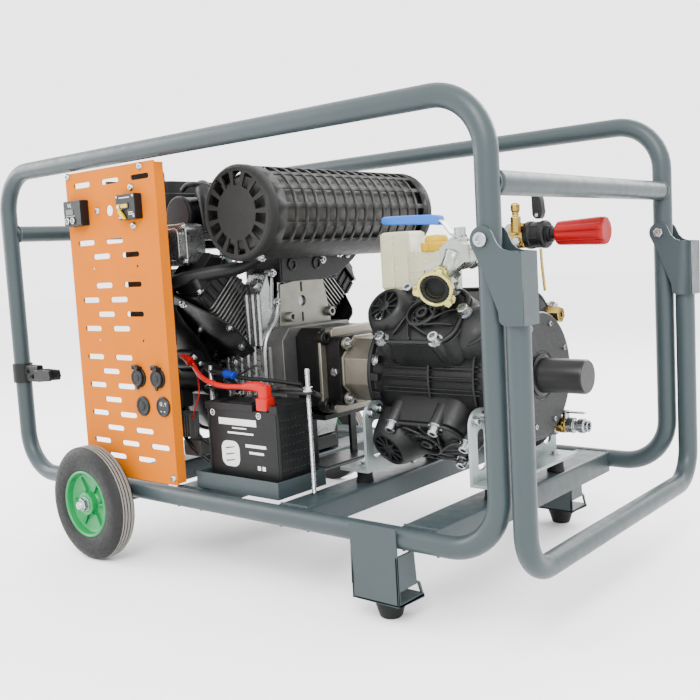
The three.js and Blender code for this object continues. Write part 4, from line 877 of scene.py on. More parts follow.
for end, side in ENDS:
    stack = Shape()
    stack.at = leaning(side)
    stack.box(-140, -97, -36, 36, 92, FIN_TOP)
    for k in range(14):
        z = 114 + 8.1 * k
        wide = 50 - (3 if k % 2 else 0)
        stack.slab(rounded(CYL_X0, CYL_X1, -wide, wide, 9, 4), "z", z, z + 2.6)
    stack.rod((-132, 36, 96), (-132, 36, FIN_TOP), 9, n=16)
    stack.rod((-100, 34, 96), (-100, 34, FIN_TOP), 9, n=16)
    show(f"cylinder_fins_{end}", stack, FINS, replaces=f"cylinder_{end}", bevel=0.5, segments=1)
    head = Shape()
    head.at = leaning(side)
    head.slab(rounded(CYL_X0, CYL_X1, -50, 50, 8, 5), "z", FIN_TOP - 2, HEAD_TOP)
    for k in range(6):
        head.slab(rounded(CYL_X1 - 6, CYL_X1 + 3, -48 + 17 * k, -40 + 17 * k, 2, 3), "z", FIN_TOP,
                  HEAD_TOP - 3)
    low_cover, high_cover = rounded(-147, -80, -44, 44, 12, 5), rounded(-141, -86, -36, 36, 14, 5)
    head.loft("z", [(HEAD_TOP, low_cover), (HEAD_TOP + 9, low_cover), (280, high_cover), (283, high_cover)])
    head.slab(rounded(-149, -78, -46, 46, 12, 5), "z", HEAD_TOP, HEAD_TOP + 4)
    show(f"cylinder_head_{end}", head, BLACK_PAINT, bevel=1.6, segments=3)
    corners = [(x, y, HEAD_TOP + 4) for x, y in ((-143, -40), (-143, 40), (-84, -40), (-84, 40))]
    bolt_group(f"head_bolts_{end}", corners, UP, 5, 6, True, leaning(side))
    shroud = Shape()
    shroud.at = leaning(side)
    shroud.slab([(-155, 70), (-54, 112), (-50, 176), (-58, 192), (-128, 262), (-155, 290)], "y", -58, -54)
    shroud.slab([(-155, 92), (-60, 118), (-60, 126), (-155, 104)], "y", -60, -56)
    shroud.box(-154, -151, -57, 52, 96, 286)
    if side == REAR:
        shroud.slab([(-155, 92), (-70, 92), (-56, 130), (-70, 230), (-100, 292), (-155, 292)], "y", 52, 56)
    show(f"cylinder_shroud_{end}", shroud, BLACK_PAINT, bevel=1.0)
    holes = [(x, -58, z) for x, z in ((-62, 182), (-128, 250), (-146, 178), (-74, 128))]
    bolt_group(f"shroud_bolts_{end}", holes, FRONTWARD, 5.4, 5, at=leaning(side))

# Pressed covers beside the front head, their bolts, and the engine's pipes.
rocker = Shape()
rocker.slab(rounded(-196, -112, 528, 604, 16, 5), "y", -214, -168)
rocker.slab(rounded(-188, -122, 538, 596, 14, 5), "y", -224, -212)
rocker.slab([(-150, 500), (-126, 520), (-126, 566), (-150, 584), (-160, 560), (-160, 520)], "y", -196, -170)
rocker.hose([(-132, -180, 575), (-126, -188, 548), (-134, -190, 516), (-148, -188, 492)], 5, 12)
show("rocker_cover", rocker, ALLOY, bevel=3.0, segments=3)
covers = ((-155, -223, 566), (-186, -213, 596), (-120, -213, 598), (-118, -213, 536), (-184, -213, 534),
          (-128, -196, 514))
bolt_group("rocker_bolts", covers, FRONTWARD, 5.2, 5)
pipes = Shape()
pipes.hose([(-160, -234, 492), (-128, -228, 502), (-104, -214, 508), (-70, -188, 514), (-40, -160, 520),
            (-20, -130, 536)], 12.5, 20)
pipes.hose([(-206, -228, 560), (-170, -214, 572), (-138, -190, 584), (-112, -160, 600)], 2.6, 10)
pipes.hose([(-148, -186, 600), (-142, -196, 560), (-150, -194, 516), (-162, -186, 470)], 2.2, 10)
pipes.tube(smooth_path([(-60, -110, 338), (-72, -124, 330), (-90, -130, 322), (-98, -134, 336),
                        (-92, -136, 352), (-76, -130, 344), (-58, -118, 322)]), 1.6, 8)
show("engine_pipes", pipes, PLASTIC, bevel=0)

# Blower housing and fan.
HOUSING = [(-70, 190), (70, 190), (128, 250), (136, 360), (235, 462), (160, 540), (60, 470), (-60, 470),
           (-160, 540), (-235, 462), (-136, 360), (-128, 250)]
HUB_R = 70.0


def soften(points, cut=0.22):
    """Cut each corner of an outline."""
    out = []
    for i, p in enumerate(points):
        before, after = points[i - 1], points[(i + 1) % len(points)]
        out.append((p[0] + (before[0] - p[0]) * cut, p[1] + (before[1] - p[1]) * cut))
        out.append((p[0] + (after[0] - p[0]) * cut, p[1] + (after[1] - p[1]) * cut))
    return out


def ray_radius(outline, angle, centre):
    """Distance from the centre to the outline along a direction."""
    c, s = math.cos(angle), math.sin(angle)
    best = 1.0
    for (ax, ay), (bx, by) in zip(outline, outline[1:] + outline[:1]):
        ax, ay, bx, by = ax - centre[0], ay - centre[1], bx - centre[0], by - centre[1]
        ex, ey = bx - ax, by - ay
        det = c * ey - s * ex
        if abs(det) < 1e-9:
            continue
        reach = (ax * ey - ay * ex) / det
        along = (ax * s - ay * c) / det
        if reach > 0 and -1e-6 <= along <= 1 + 1e-6:
            best = max(best, reach)
    return best


edge = soften(HOUSING)
count = 96
spread = [ray_radius(edge, 2 * math.pi * k / count, (0, SHAFT_Z)) for k in range(count)]


def housing_ring(x, scale):
    ring = []
    for k in range(count):
        a, r = 2 * math.pi * k / count, spread[k]
        r = scale if isinstance(scale, int) else HUB_R + (r - HUB_R) * scale
        ring.append((x, r * math.cos(a), SHAFT_Z + r * math.sin(a)))
    return ring


shell = Shape()
shell.rings([housing_ring(-152, 1.0), housing_ring(-236, 1.0), housing_ring(-262, 0.96),
             housing_ring(-274, 0.86), housing_ring(-274, 0.3), housing_ring(-278, 84),
             housing_ring(-278, 70), housing_ring(-270, 70)], caps=False)
show("blower_shell", shell, BLACK_PAINT, replaces="blower_housing", bevel=0, thick=3.0)
grille = Shape()
for r in (16, 30, 44, 58):
    grille.turn((-272, 0, SHAFT_Z), ALONG, band(r - 1.6, r + 1.6, 0, 3), 48)
for k in range(12):
    grille.at = Matrix.Translation((0, 0, SHAFT_Z)) @ Matrix.Rotation(k * math.pi / 6, 4, "X")
    grille.box(-273, -270.5, -1.6, 1.6, 12, 71)
grille.at = Matrix.Identity(4)
grille.turn((-274, 0, SHAFT_Z), ALONG, disc(15, 0, 4), 32)
show("blower_grille", grille, PLASTIC, slot="black_paint", bevel=0.5)
cowl = Shape().turn((-278, 0, SHAFT_Z), (-1, 0, 0), [(84, 0), (146, 0), (146, 26), (134, 44), (112, 54),
                                                     (84, 58), (80, 56), (80, 2), (84, 0)], 64)
for k in range(6):
    a = math.radians(60 * k + 30)
    cowl.turn((-280, 140 * math.cos(a), SHAFT_Z + 140 * math.sin(a)), (-1, 0, 0),
              [(16, 0), (16, 30), (14, 34), (0.1, 34)], 24)
show("fan_cowl", cowl, BLACK_PAINT, bevel=1.5)
fan = Shape().turn((-246, 0, SHAFT_Z), ALONG, [(14.2, -4), (34, -4), (90, 6), (90, 9), (34, 4), (14.2, 6),
                                               (14.2, -4)], 48)
for k in range(18):
    fan.at = Matrix.Translation((0, 0, SHAFT_Z)) @ Matrix.Rotation(2 * math.pi * k / 18, 4, "X")
    fan.box(-258, -240, -1.2, 1.2, 36, 89)
fan.at = Matrix.Identity(4)
show("cooling_fan", fan, PLASTIC, "engine_shaft", slot="zinc_steel", bevel=0.5)

# Air cleaner above the housing.
cleaner = Shape()
lower, upper = rounded(-228, -58, -120, 120, 26, 6), rounded(-216, -70, -108, 108, 30, 6)
cleaner.loft("z", [(575, lower), (644, lower), (666, upper), (672, upper)])
cleaner.slab(rounded(-228, -57, -121, 121, 26, 6), "z", 606, 612)
cleaner.slab(rounded(-150, -110, -40, 40, 8, 4), "z", 475, 576)
cleaner.rod((-59.5, -84, 640), (-48.5, -84, 640), 26, n=32)
cleaner.rod((-170, -168, 622), (-170, -110, 622), 33, n=40)
cleaner.turn((-170, -168, 622), FRONTWARD, [(33, 0), (35, 2), (35, 9), (32, 12), (0.1, 12)], 40)
cleaner.slab(rounded(-352, -222, -170, 40, 40, 6), "z", 560, 668)
cleaner.slab(rounded(-340, -234, -158, 28, 36, 6), "z", 660, 692)
cleaner.hose([(-150, -130, 664), (-130, -150, 668), (-112, -160, 650), (-104, -162, 620),
              (-104, -158, 590)], 15, 20)
cleaner.hose([(-176, -160, 668), (-150, -166, 676), (-118, -160, 672), (-96, -130, 660)], 5, 12)
show("air_cleaner_body", cleaner, PLASTIC, replaces="air_cleaner", bevel=2.5, segments=3)
clasps = Shape()
for x in (-190, -96):
    for y in (-122, 122):
        clasps.box(x - 7, x + 7, y - 1.5, y + 1.5, 598, 626)
clasps.turn((-143, 0, 670), UP, [(9, 0), (9, 6), (7, 8), (0.1, 8)], 6)
show("cleaner_clasps", clasps, ZINC, bevel=0.6)

# Muffler inside a perforated guard.
MUFFLER_X, MUFFLER_Z, GUARD_R = 34.0, 611.0, 79.0
GUARD_Y0, GUARD_Y1 = -228.0, 232.0
drum = Shape().turn((MUFFLER_X, 0, MUFFLER_Z), (0, 1, 0), [(0.1, -210), (60, -210), (66, -204), (68, -196),
                                                           (68, 202), (66, 212), (60, 218), (0.1, 218)], 40)
show("muffler_drum", drum, STEEL_DARK, replaces="muffler", bevel=0)


def guard_point(angle, y, r=GUARD_R):
    return (MUFFLER_X + r * math.cos(angle), y, MUFFLER_Z + r * math.sin(angle))


ROWS, RIB, WINDOW = 15, math.radians(6.0), math.radians(18.0)
steps_around = []
for row in range(ROWS):
    start = math.radians(24.0 * row + 3.0)
    steps_around += [(start, False), (start + RIB, True), (start + RIB + WINDOW * 0.5, True)]
along = [(GUARD_Y0 + 4, False), (GUARD_Y0 + 42, True)]
y = GUARD_Y0 + 62
while y < GUARD_Y1 - 34:
    along += [(y, False), (y + 6.5, True)]
    y += 26.5
along += [(y, False), (GUARD_Y1, False)]
SKIRT = (math.radians(235), math.radians(311))
sheet = Shape()
verts = [guard_point(a, y) for y, _ in along for a, _ in steps_around]
faces = []
n = len(steps_around)
for j in range(len(along) - 1):
    for i in range(n):
        middle = steps_around[i][0] + 0.05
        open_cell = along[j][1] and steps_around[i][1] and not SKIRT[0] < middle < SKIRT[1]
        if not open_cell:
            faces.append((j * n + i, j * n + (i + 1) % n, (j + 1) * n + (i + 1) % n, (j + 1) * n + i))
sheet.add(verts, faces)
show("guard_sheet", sheet, GUARD, replaces="muffler_guard", bevel=0, thick=2.4, angle=40)
cap = Shape()
slots = []
for k in range(15):
    a = 2 * math.pi * (k + 0.5) / 15
    near, far = 46.0, 69.5
    half = math.radians(8.4)
    slots.append([(near * math.cos(a - half), near * math.sin(a - half)),
                  (near * math.cos(a + half), near * math.sin(a + half)),
                  (far * math.cos(a + half * 0.92), far * math.sin(a + half * 0.92)),
                  (far * math.cos(a), far * math.sin(a)), (far * math.cos(a - half * 0.92),
                                                           far * math.sin(a - half * 0.92))])
place = Matrix.Translation((MUFFLER_X, GUARD_Y0, MUFFLER_Z)) @ FACING_FRONT @ Matrix.Translation((0, 0, -5))
cap.add(*flat_plate([(75 * math.cos(a), 75 * math.sin(a))
                     for a in [2 * math.pi * k / 72 for k in range(72)]], slots, 4.0, place))
rim = [(71, 5), (72, 0.6), (75, -0.2), (78, 1.8), (80.5, 6), (80.5, 20), (77.5, 20), (76, 8), (71, 5)]
cap.turn((MUFFLER_X, GUARD_Y0, MUFFLER_Z), (0, 1, 0), rim, 72)
show("guard_cap", cap, GUARD, bevel=0.8)
cap = Shape().turn((MUFFLER_X, GUARD_Y1, MUFFLER_Z), FRONTWARD, [(0.1, 0), (74, 0), (79.5, 3), (79.5, 14),
                                                                 (77, 14), (0.1, 6)], 72)
show("guard_rear_cap", cap, GUARD, bevel=0.8)

bracket = Shape()
bracket.slab([(-58, 572), (190, 572), (186, 548), (152, 522), (104, 496), (52, 488), (-58, 490)], "x", -35,
             -31)
bracket.box(-90, -32, -62, -58, 490, 572)
bracket.box(-60, -32, -60, 100, 488, 492)
for y in (-30, 40):
    bracket.turn((-31, y, 520), ALONG, [(12, 0), (12, 2.4), (7, 2.4), (7, 0), (12, 0)], 24)
show("guard_bracket", bracket, BLACK_PAINT, bevel=1.2)
fixings = Shape()
for y, turn_by in ((-204, 253), (-150, 253), (-204, 290), (60, 253)):
    a = math.radians(turn_by)
    normal = (math.cos(a), 0, math.sin(a))
    fixings.bolt(guard_point(a, y, GUARD_R + 1), normal, 5.6, 5)
fixings.bolt((-30, 58, 526), ALONG, 5.5, 5)
fixings.bolt((-30, 134, 534), ALONG, 5.5, 5)
show("guard_bolts", fixings, ZINC, bevel=0)

# ---------------------------------------------------------------- gearbox


def octagon(r, spin=22.5):
    return [(r * math.cos(math.radians(spin + 45 * k)), SHAFT_Z + r * math.sin(math.radians(spin + 45 * k)))
            for k in range(8)]


adapter = Shape()
face = [(-104, 262), (-84, 240), (84, 240), (104, 262), (104, 384), (84, 406), (-84, 406), (-104, 384)]
adapter.slab(face, "x", -36, 4)
adapter.slab([(y * 0.97, SHAFT_Z + (z - SHAFT_Z) * 0.97) for y, z in face], "x", -39.7, -30)
adapter.rod((-30, -103, 300), (-30, -103, 372), 5, n=14)
show("adapter_plate", adapter, GREY_CAST, replaces="gearbox", bevel=2.0, segments=3)
bell = Shape()
bell.slab([(-70, 262), (-52, 244), (52, 244), (70, 262), (70, 388), (52, 402), (-52, 402), (-70, 388)], "x",
          4, 60)
bell.slab(rounded(-77, 77, 248, 402, 14, 4), "x", 59, 67)
bell.slab(rounded(-66, 66, 262, 388, 14, 4), "x", 72, 104)
for y, z in ((-70, 264), (-70, 386), (70, 264), (70, 386)):
    bell.turn((62, y, z), ALONG, [(13, 0), (13, 16), (11, 18), (6, 18), (6, 6), (0.1, 6)], 24)
show("gearbox_bell", bell, BLACK_PAINT, bevel=1.2)
plate = Shape()
for z0, z1 in ((383, 403), (247, 265)):
    plate.slab(rounded(-60, 88, z0, z1, 8, 4), "x", 66, 84)
for y in (-72, 72):
    plate.slab(rounded(y - 8, y + 8, 252, 398, 6, 4), "x", 66, 73)
show("gearbox_flange", plate, CHAMPAGNE, bevel=2.0, segments=3)
ports = Shape()
for y, z in ((78, 393), (78, 256)):
    ports.turn((84.2, y, z), ALONG, stub(6.5, -2, 0.3), 24)
show("flange_ports", ports, RUBBER, slot="black_paint", bevel=0)
neck = Shape()
neck.slab(octagon(61), "x", 100, 192)
neck.slab(octagon(66), "x", 100, 108)
neck.slab(octagon(66), "x", 178, 191.5)
for k in range(4):
    a = math.radians(45 + 90 * k)
    neck.rod((104, 70 * math.cos(a), SHAFT_Z + 70 * math.sin(a)),
             (112, 70 * math.cos(a), SHAFT_Z + 70 * math.sin(a)), 11, n=20)
show("gearbox_neck", neck, CHAMPAGNE, bevel=1.8, segments=3)
bolts = Shape()
for k in range(4):
    a = math.radians(45 + 90 * k)
    bolts.bolt((112, 70 * math.cos(a), SHAFT_Z + 70 * math.sin(a)), ALONG, 5.5, 6)
bolts.turn((92, -66, 325), FRONTWARD, [(8, 0), (8, 4), (7, 5), (0.1, 5)], 6)
show("gearbox_bolts", bolts, ZINC, bevel=0)

# ---------------------------------------------------------------- pump
PUMP_X0, PUMP_X1, PUMP_R = 192.0, 455.0, 98.0


def radial(degrees):
    """Frame whose z leaves the pump axis at an angle from +y, with x along the shaft."""
    a = math.radians(degrees)
    c, s = math.cos(a), math.sin(a)
    return Matrix(((1, 0, 0, 0), (0, s, c, 0), (0, -c, s, SHAFT_Z), (0, 0, 0, 1)))


body = Shape()
body.turn((0, 0, SHAFT_Z), ALONG, [(30, PUMP_X0), (100, PUMP_X0), (104, PUMP_X0 + 3), (104, PUMP_X0 + 9),
                                   (95, PUMP_X0 + 11), (94, PUMP_X0 + 30), (PUMP_R, PUMP_X0 + 36),
                                   (PUMP_R, 440), (101, 444), (101, PUMP_X1), (30, PUMP_X1)], 72)
for k in range(20):
    body.at = radial(18 * k)
    body.slab([(PUMP_X0 + 8, -7), (PUMP_X0 + 24, -6), (PUMP_X0 + 24, 6), (PUMP_X0 + 8, 7)], "z", 90, 102.5)
for k in range(16):
    body.at = radial(22.5 * k + 5)
    body.slab([(428, -6), (446, -7), (446, 7), (428, 6)], "z", 92, 103)
for side in (FRONT, REAR):
    for z in (344, 326, 307):
        lean = math.asin((z - SHAFT_Z) / PUMP_R)
        body.at = radial(math.degrees(lean) if side == REAR else 180 - math.degrees(lean))
        for v in (-3.4, 3.4):
            body.slab([(226, v - 1.2), (412, v - 1.2), (412, v + 1.2), (226, v + 1.2)], "z", 95, 101.5)
    for x in (318, 402):
        for step in range(-6, 7):
            body.at = radial((0 if side == REAR else 180) + 3.6 * step)
            body.box(x - 2, x + 2, -3.6, 3.6, 95, 102.5)
body.at = Matrix.Identity(4)
show("pump_casting", body, CASTING, replaces="pump_body", bevel=1.2, angle=40)

HEADS = {"upper": (135, 230, 392, -54, 66), "lower": (225, 230, 388, -62, 46),
         "rear_upper": (45, 232, 440, -60, 56), "rear_lower": (-45, 232, 440, -56, 56)}
for name, (tilt, x0, x1, v0, v1) in HEADS.items():
    head = Shape()
    head.at = radial(tilt)
    middle, centre = (v0 + v1) / 2, ((x0 + x1) / 2 - 2, (v0 + v1) / 2 + 2)
    foot, brow = rounded(x0, x1, v0, v1, 34, 7), rounded(x0 + 5, x1 - 5, v0 + 5, v1 - 5, 32, 7)
    crown = rounded(x0 + 12, x1 - 16, v0 + 11, v1 - 11, 28, 7)
    head.loft("z", [(62, foot), (112, foot), (130, brow), (132, brow), (136, crown), (138, crown)])
    cx, cy = centre

    lid = rounded(x0 + 6, x1 - 10, v0 + 6, v1 - 6, 31, 8)
    ring = [(x, v, 137.5) for x, v in lid]
    head.tube(ring, 3.6, 10, loop=True)
    head.turn((cx, cy, 138), UP, [(29, -3), (29, 8), (27, 10), (24.5, 10), (23, 6), (23, 1), (12, 1),
                                  (11, 8), (9, 9), (6, 9), (5, 4), (0.1, 4)], 40)
    for k in range(10):
        a = 2 * math.pi * k / 10 + 0.2
        swirl = a + 0.55
        u0, w0 = cx + 28 * math.cos(a), cy + 28 * math.sin(a)
        u1, w1 = cx + 48 * math.cos(swirl), cy + 44 * math.sin(swirl)
        reach_x, reach_y = (x1 - x0) / 2 - 14, (v1 - v0) / 2 - 9
        u2, w2 = cx + 2 + reach_x * math.cos(swirl + 0.12), middle + reach_y * math.sin(swirl + 0.12)
        head.hose([(u0, w0, 144), (u1, w1, 142.5), (u2, w2, 140)], 2.2, 8, 6)
    for k in range(8):
        a = 2 * math.pi * k / 8
        head.box(cx + 17 * math.cos(a) - 1.4, cx + 17 * math.cos(a) + 1.4, cy + 17 * math.sin(a) - 1.4,
                 cy + 17 * math.sin(a) + 1.4, 138, 143.5)
    lugs = ((x0 + 22, v0 + 9), (x1 - 36, v0 + 9), (x0 + 30, v1 - 8), (x1 - 44, v1 - 8),
            (x0 + 3, middle - 12), (x1 - 6, middle + 6))
    for x, v in lugs:
        head.turn((x, v, 100), UP, [(12, 0), (12, 36), (10.5, 39), (0.1, 39)], 22)
    head.at = Matrix.Identity(4)
    replaced = {"upper": "pump_head_upper", "lower": "pump_head_lower"}.get(name)
    show(f"head_casting_{name}", head, CASTING, replaces=replaced or (), bevel=1.2, angle=40)
    fixings = Shape()
    fixings.at = radial(tilt)
    for x, v in lugs:
        fixings.turn((x, v, 138), UP, [(12, 0), (12, 1.8), (8.8, 1.8), (8.8, 13), (7.8, 14.4), (5, 14.4),
                                       (4.8, 8), (0.1, 8)], 20)
    show(f"head_screws_{name}", fixings, ZINC, bevel=0)

# Spoked caps at the outer ends of the front heads.
for name, at, facing in (("upper", (238, -100, 443), (-0.1, -0.8, 0.6)),
                         ("lower", (240, -110, 208), (-0.15, -0.85, -0.5))):
    side_cap = Shape()
    axis = Vector(facing).normalized()
    side_cap.turn(at, axis, [(54, -44), (44, -18), (38, -4), (33, 3), (30.5, 4), (27.5, 3.6), (26.5, -3),
                             (10, -3), (9.5, 3), (8, 4), (0.1, 4)], 48)
    frame_of = Matrix.Translation(at) @ axis.to_track_quat("Z", "Y").to_matrix().to_4x4()
    for k in range(10):
        side_cap.at = frame_of @ Matrix.Rotation(k * math.pi / 5, 4, "Z")
        side_cap.box(8.5, 27, -1.6, 1.6, -3, 3.2)
    side_cap.at = Matrix.Identity(4)
    show(f"spoked_cap_{name}", side_cap, CASTING, bevel=0.6)

# Smooth dome over the right end of the upper front head.
dome = Shape()
dome.turn((392, -86, 412), (0.1, -0.8, 0.6), [(50, -44), (46, -20), (40, -4), (31, 6), (18, 11.5),
                                              (0.1, 13)], 48)
dome.tube([(392 + 41 * math.cos(a), -86 - 6 + 25 * math.sin(a), 412 + 4 + 34 * math.sin(a)) for a in
           [math.pi * k / 12 for k in range(-5, 6)]], 2.4, 10)
show("head_dome", dome, CASTING, bevel=0)

end = Shape()
end.turn((0, 0, SHAFT_Z), ALONG, [(26, 454), (99, 454), (101, 457), (101, 464), (98, 467.5), (40, 468),
                                  (38, 466), (26, 466), (26, 454)], 72)
end.slab([(-44, 236), (44, 236), (30, 222), (-30, 222)], "x", 455, 466)
show("end_cover_disc", end, CASTING, replaces="pump_end_cover", bevel=0.8)
shaft_cover = Shape()
shaft_cover.turn((0, 0, SHAFT_Z), ALONG, [(25, 460), (34, 462), (34, 468), (28.5, 470), (28, 478),
                                          (27, 480), (27, 542), (25, 545), (0.1, 545), (0.1, 540),
                                          (22, 538), (22, 460), (25, 460)], 48)
show("shaft_cover_cap", shaft_cover, GLOSS, slot="black_paint", bevel=0)
screws = Shape()
for k in range(8):
    a = math.radians(25 + 45 * k)
    screws.bolt((467, 84 * math.cos(a), SHAFT_Z + 84 * math.sin(a)), ALONG, 4, 4, washer=False)
screws.bolt((436, -88, 396), (0.2, -0.9, 0.3), 6, 7)
screws.bolt((212, -100, 352), (-0.2, -0.9, 0.3), 5, 5)
show("end_cover_screws", screws, ZINC, bevel=0)
plug = Shape().turn((424, 104, 414), (0.35, 0.75, 0.55), [(18, -14), (18, 6), (16, 8), (0.1, 8)], 6)
plug.turn((424, 104, 414), (0.35, 0.75, 0.55), [(14, 7), (14, 12), (12, 14), (0.1, 14)], 28)
plug.turn((452, 84, 414), ALONG, [(14, -16), (14, 8), (12.5, 10), (5, 10), (5, 5), (0.1, 5)], 6)
show("valve_plugs", plug, BRASS, bevel=0.8)

FEET = {"left": (208, 213, 150, 212), "right": (412, 417, 413, 458)}
for name, (x0, x1, f0, f1) in FEET.items():
    half = [(0, 196), (-58, 196), (-70, 214), (-80, 250), (-88, 272)] + arc(-100, 272, 14, 10, 90, 5) + \
        arc(-112, 260, 26, 90, 180, 7) + [(-138, 168), (0, 168)]
    outline = half + [(-y, z) for y, z in reversed(half)][1:-1]
    foot = Shape()
    place = Matrix.Translation((x1, 0, 0)) @ FACING_SIDE @ Matrix.Translation((0, 0, -(x1 - x0)))
    windows = [rounded(side * 106 - 13, side * 106 + 13, 190, 254, 10, 5) for side in (-1, 1)]
    foot.add(*flat_plate(outline, windows, x1 - x0, place))
    foot.slab(rounded(f0, f1, -138, 138, 6, 4), "z", 168, 173)
    show(f"foot_plate_{name}", foot, FOOT_ZINC, replaces=f"pump_foot_{name}", bevel=1.4, segments=3)
    mounts = Shape()
    for y in (-103, 103):
        x = f0 + 28 if name == "left" else f0 + 19
        mounts.turn((x, y, 0), UP, [(0.1, 144.3), (15, 144.3), (15, 146), (13.6, 152), (13.6, 162),
                                    (15, 166.5), (0.1, 167.5)], 28)
    show(f"isolators_{name}", mounts, RUBBER, bevel=0)
    bolts = Shape()
    for y in (-103, 103):
        x = f0 + 28 if name == "left" else f0 + 19
        bolts.bolt((x, y, 173), UP, 6.5, 6, True)
    for y, z in ((-124, 268), (-100, 272), (124, 268), (100, 272)):
        bolts.bolt((x1, y, z), ALONG, 6, 8)
    for y in (-70, 70):
        bolts.rod((x0 - 4, y, 226), (x1 + 14, y, 226), 4, n=12)
    show(f"foot_bolts_{name}", bolts, ZINC, bevel=0)

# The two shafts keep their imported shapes.
for node in ("crankshaft", "pump_shaft"):
    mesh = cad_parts[node].data
    mesh.materials.clear()
    mesh.materials.append(ZINC)
    for poly in mesh.polygons:
        poly.use_smooth = True
    mesh.set_sharp_from_angle(angle=math.radians(35))

# ---------------------------------------------------------------- oil reservoir
tank = Shape()
tank.slab(rounded(176, 238, -28, 28, 7, 4), "z", 470, 562)
tank.loft("z", [(456, rounded(186, 228, -22, 22, 6, 4)), (472, rounded(176, 238, -28, 28, 7, 4))])
tank.loft("z", [(562, rounded(176, 238, -28, 28, 7, 4)), (566, rounded(180, 234, -24, 24, 7, 4))])
tank.slab(rounded(232, 312, -28, 28, 8, 4), "z", 458, 524)
tank.loft("z", [(523, rounded(232, 312, -28, 28, 8, 4)), (530, rounded(240, 304, -22, 22, 8, 4))])
tank.box(206, 208.5, -29.2, 29.2, 470, 563)
tank.box(240, 310, -29, 29, 496, 498.4)
show("reservoir_tank", tank, CREAM, replaces="oil_reservoir", bevel=2.4, segments=3)
cap = Shape()
cap.turn((278, 0, 529), UP, [(24, 0), (27.5, 1), (27.5, 14), (26.2, 16), (0.1, 16)], 8, math.pi / 8)
cap.turn((278, 0, 545), UP, [(20, -1), (20, 6), (17, 11), (0.1, 12.6)], 40)
for k in range(16):
    a = k * math.pi / 8
    cap.box(278 + 26 * math.cos(a) - 1.6, 278 + 26 * math.cos(a) + 1.6, 26 * math.sin(a) - 1.6,
            26 * math.sin(a) + 1.6, 530, 543)
show("reservoir_cap", cap, CAP_YELLOW, bevel=1.6, segments=3)
tubing = Shape().rod((300, 0, 470), (332, -30, 452), 8, n=20)
tubing.turn((308, -8, 466), (0.7, -0.65, -0.4), stub(11, 0, 9), 6)
show("reservoir_fitting", tubing, AMBER, bevel=0.6)

# ---------------------------------------------------------------- water inlet valve and coupling
VALVE = Vector((380, -85, 522))
COUPLING = Vector((352, -118, 472))
OPENS = Vector((0.27, -0.91, -0.36)).normalized()
valve = Shape()
valve.turn((VALVE.x, 0, VALVE.z), (0, 1, 0), [(15, -44), (22, -44), (24, -48), (24, -58), (21, -62),
                                              (21, -66)], 8)
valve.ball(VALVE + Vector((0, 2, 0)), 24, 28)
valve.turn((VALVE.x, 0, VALVE.z), (0, 1, 0), [(0.1, -111), (25, -111), (27, -108), (27, -96), (24, -93),
                                              (0.1, -93)], 6, 0.2)
valve.turn((VALVE.x, VALVE.y, VALVE.z + 18), UP, [(13, 0), (13, 6), (10, 8), (9, 9), (9, 24), (0.1, 24)], 24)
valve.hose([VALVE + Vector((0, -14, 0)), VALVE + Vector((-6, -20, -14)), COUPLING - OPENS * 20],
           lambda t: 19 - 8 * t, 24)
valve.turn(COUPLING - OPENS * 26, OPENS, [(0.1, -24), (24, -24), (31, -18), (31, 9), (26, 13), (0.1, 13)],
           6, 0.3)
valve.turn((VALVE.x, 0, VALVE.z), (0, 1, 0), stub(12, -60, 40), 24)
show("valve_casting", valve, NICKEL, replaces="inlet_valve", bevel=1.4, segments=3)
ring = Shape()
ring.turn(COUPLING, OPENS, [(17.2, -12), (25, -12), (26, -7), (28, -6), (29.6, -3), (29.6, 5), (28, 7),
                            (24.5, 7), (22.6, 4.5), (22, 1), (17.2, 1), (17.2, -12)], 56)
claw_frame = Matrix.Translation(COUPLING) @ OPENS.to_track_quat("Z", "Y").to_matrix().to_4x4()
for k in range(3):
    ring.at = claw_frame @ Matrix.Rotation(math.radians(120 * k + 70), 4, "Z")
    ring.slab([(24, -13), (34, -11), (37, -6), (37, 5), (34, 8), (25, 10)], "z", -8, 1)
    ring.slab([(25, -7), (36, -6), (36, 2), (26, 6)], "z", 0, 8)
ring.at = Matrix.Identity(4)
show("coupling_ring", ring, PALE_BRASS, bevel=1.2, segments=3)
seal = Shape().turn(COUPLING, OPENS, [(16.6, -2), (22.4, -2), (22.4, 4.8), (19.5, 6), (16.6, 4.2),
                                      (16.6, -2)], 48)
# The dark rubber disc set into the coupling's bore is painted shade standing for the bore's dark interior;
# the ring above it is the real seal.
seal.turn(COUPLING - OPENS * 7.6, OPENS, disc(17.4, 0, 1), 32)
show("coupling_seal_and_painted_shade_disc", seal, RUBBER, bevel=0)


def blade(half, thick, r=3.0):
    return [(y, z) for y, z in rounded(-half, half, -thick / 2, thick / 2, min(r, thick / 2 - 0.2), 4)]


def sweep(shape, stations):
    """Blade along x: stations are (x, z, half width, thickness)."""
    shape.rings([[(x, VALVE.y + y, z + w) for y, w in blade(half, thick)] for x, z, half, thick in stations])


lever = Shape()
sweep(lever, [(232.4, 583, 4, 5), (234, 583, 7.5, 9), (240, 582.8, 9.8, 13.4), (262, 582, 10.8, 14.4),
              (300, 580.6, 10.9, 15), (336, 578.4, 10.6, 16), (345, 577, 9.6, 15), (347, 576.6, 8, 9)])
show("lever_sleeve", lever, BLUE, "inlet_handle", "inlet_lever", bevel=0.5)
arm = Shape()
sweep(arm, [(338, 579, 8, 3.6), (346, 576.8, 8.4, 3.6), (352, 572.5, 9, 3.6), (366, 555.5, 9.4, 3.6),
            (372, 551.4, 10, 3.6), (388, 550.4, 8, 3.6)])
arm.turn((VALVE.x, VALVE.y, 546.3), UP, stub(11.6, 0, 2.4), 28)
arm.turn((VALVE.x, VALVE.y, 552), UP, [(9.4, 0), (9.4, 4.4), (8.2, 5.4), (4.6, 5.4), (4.4, 7.6), (0.1, 8)], 6)
show("lever_arm", arm, ZINC, "inlet_handle", bevel=0.5)

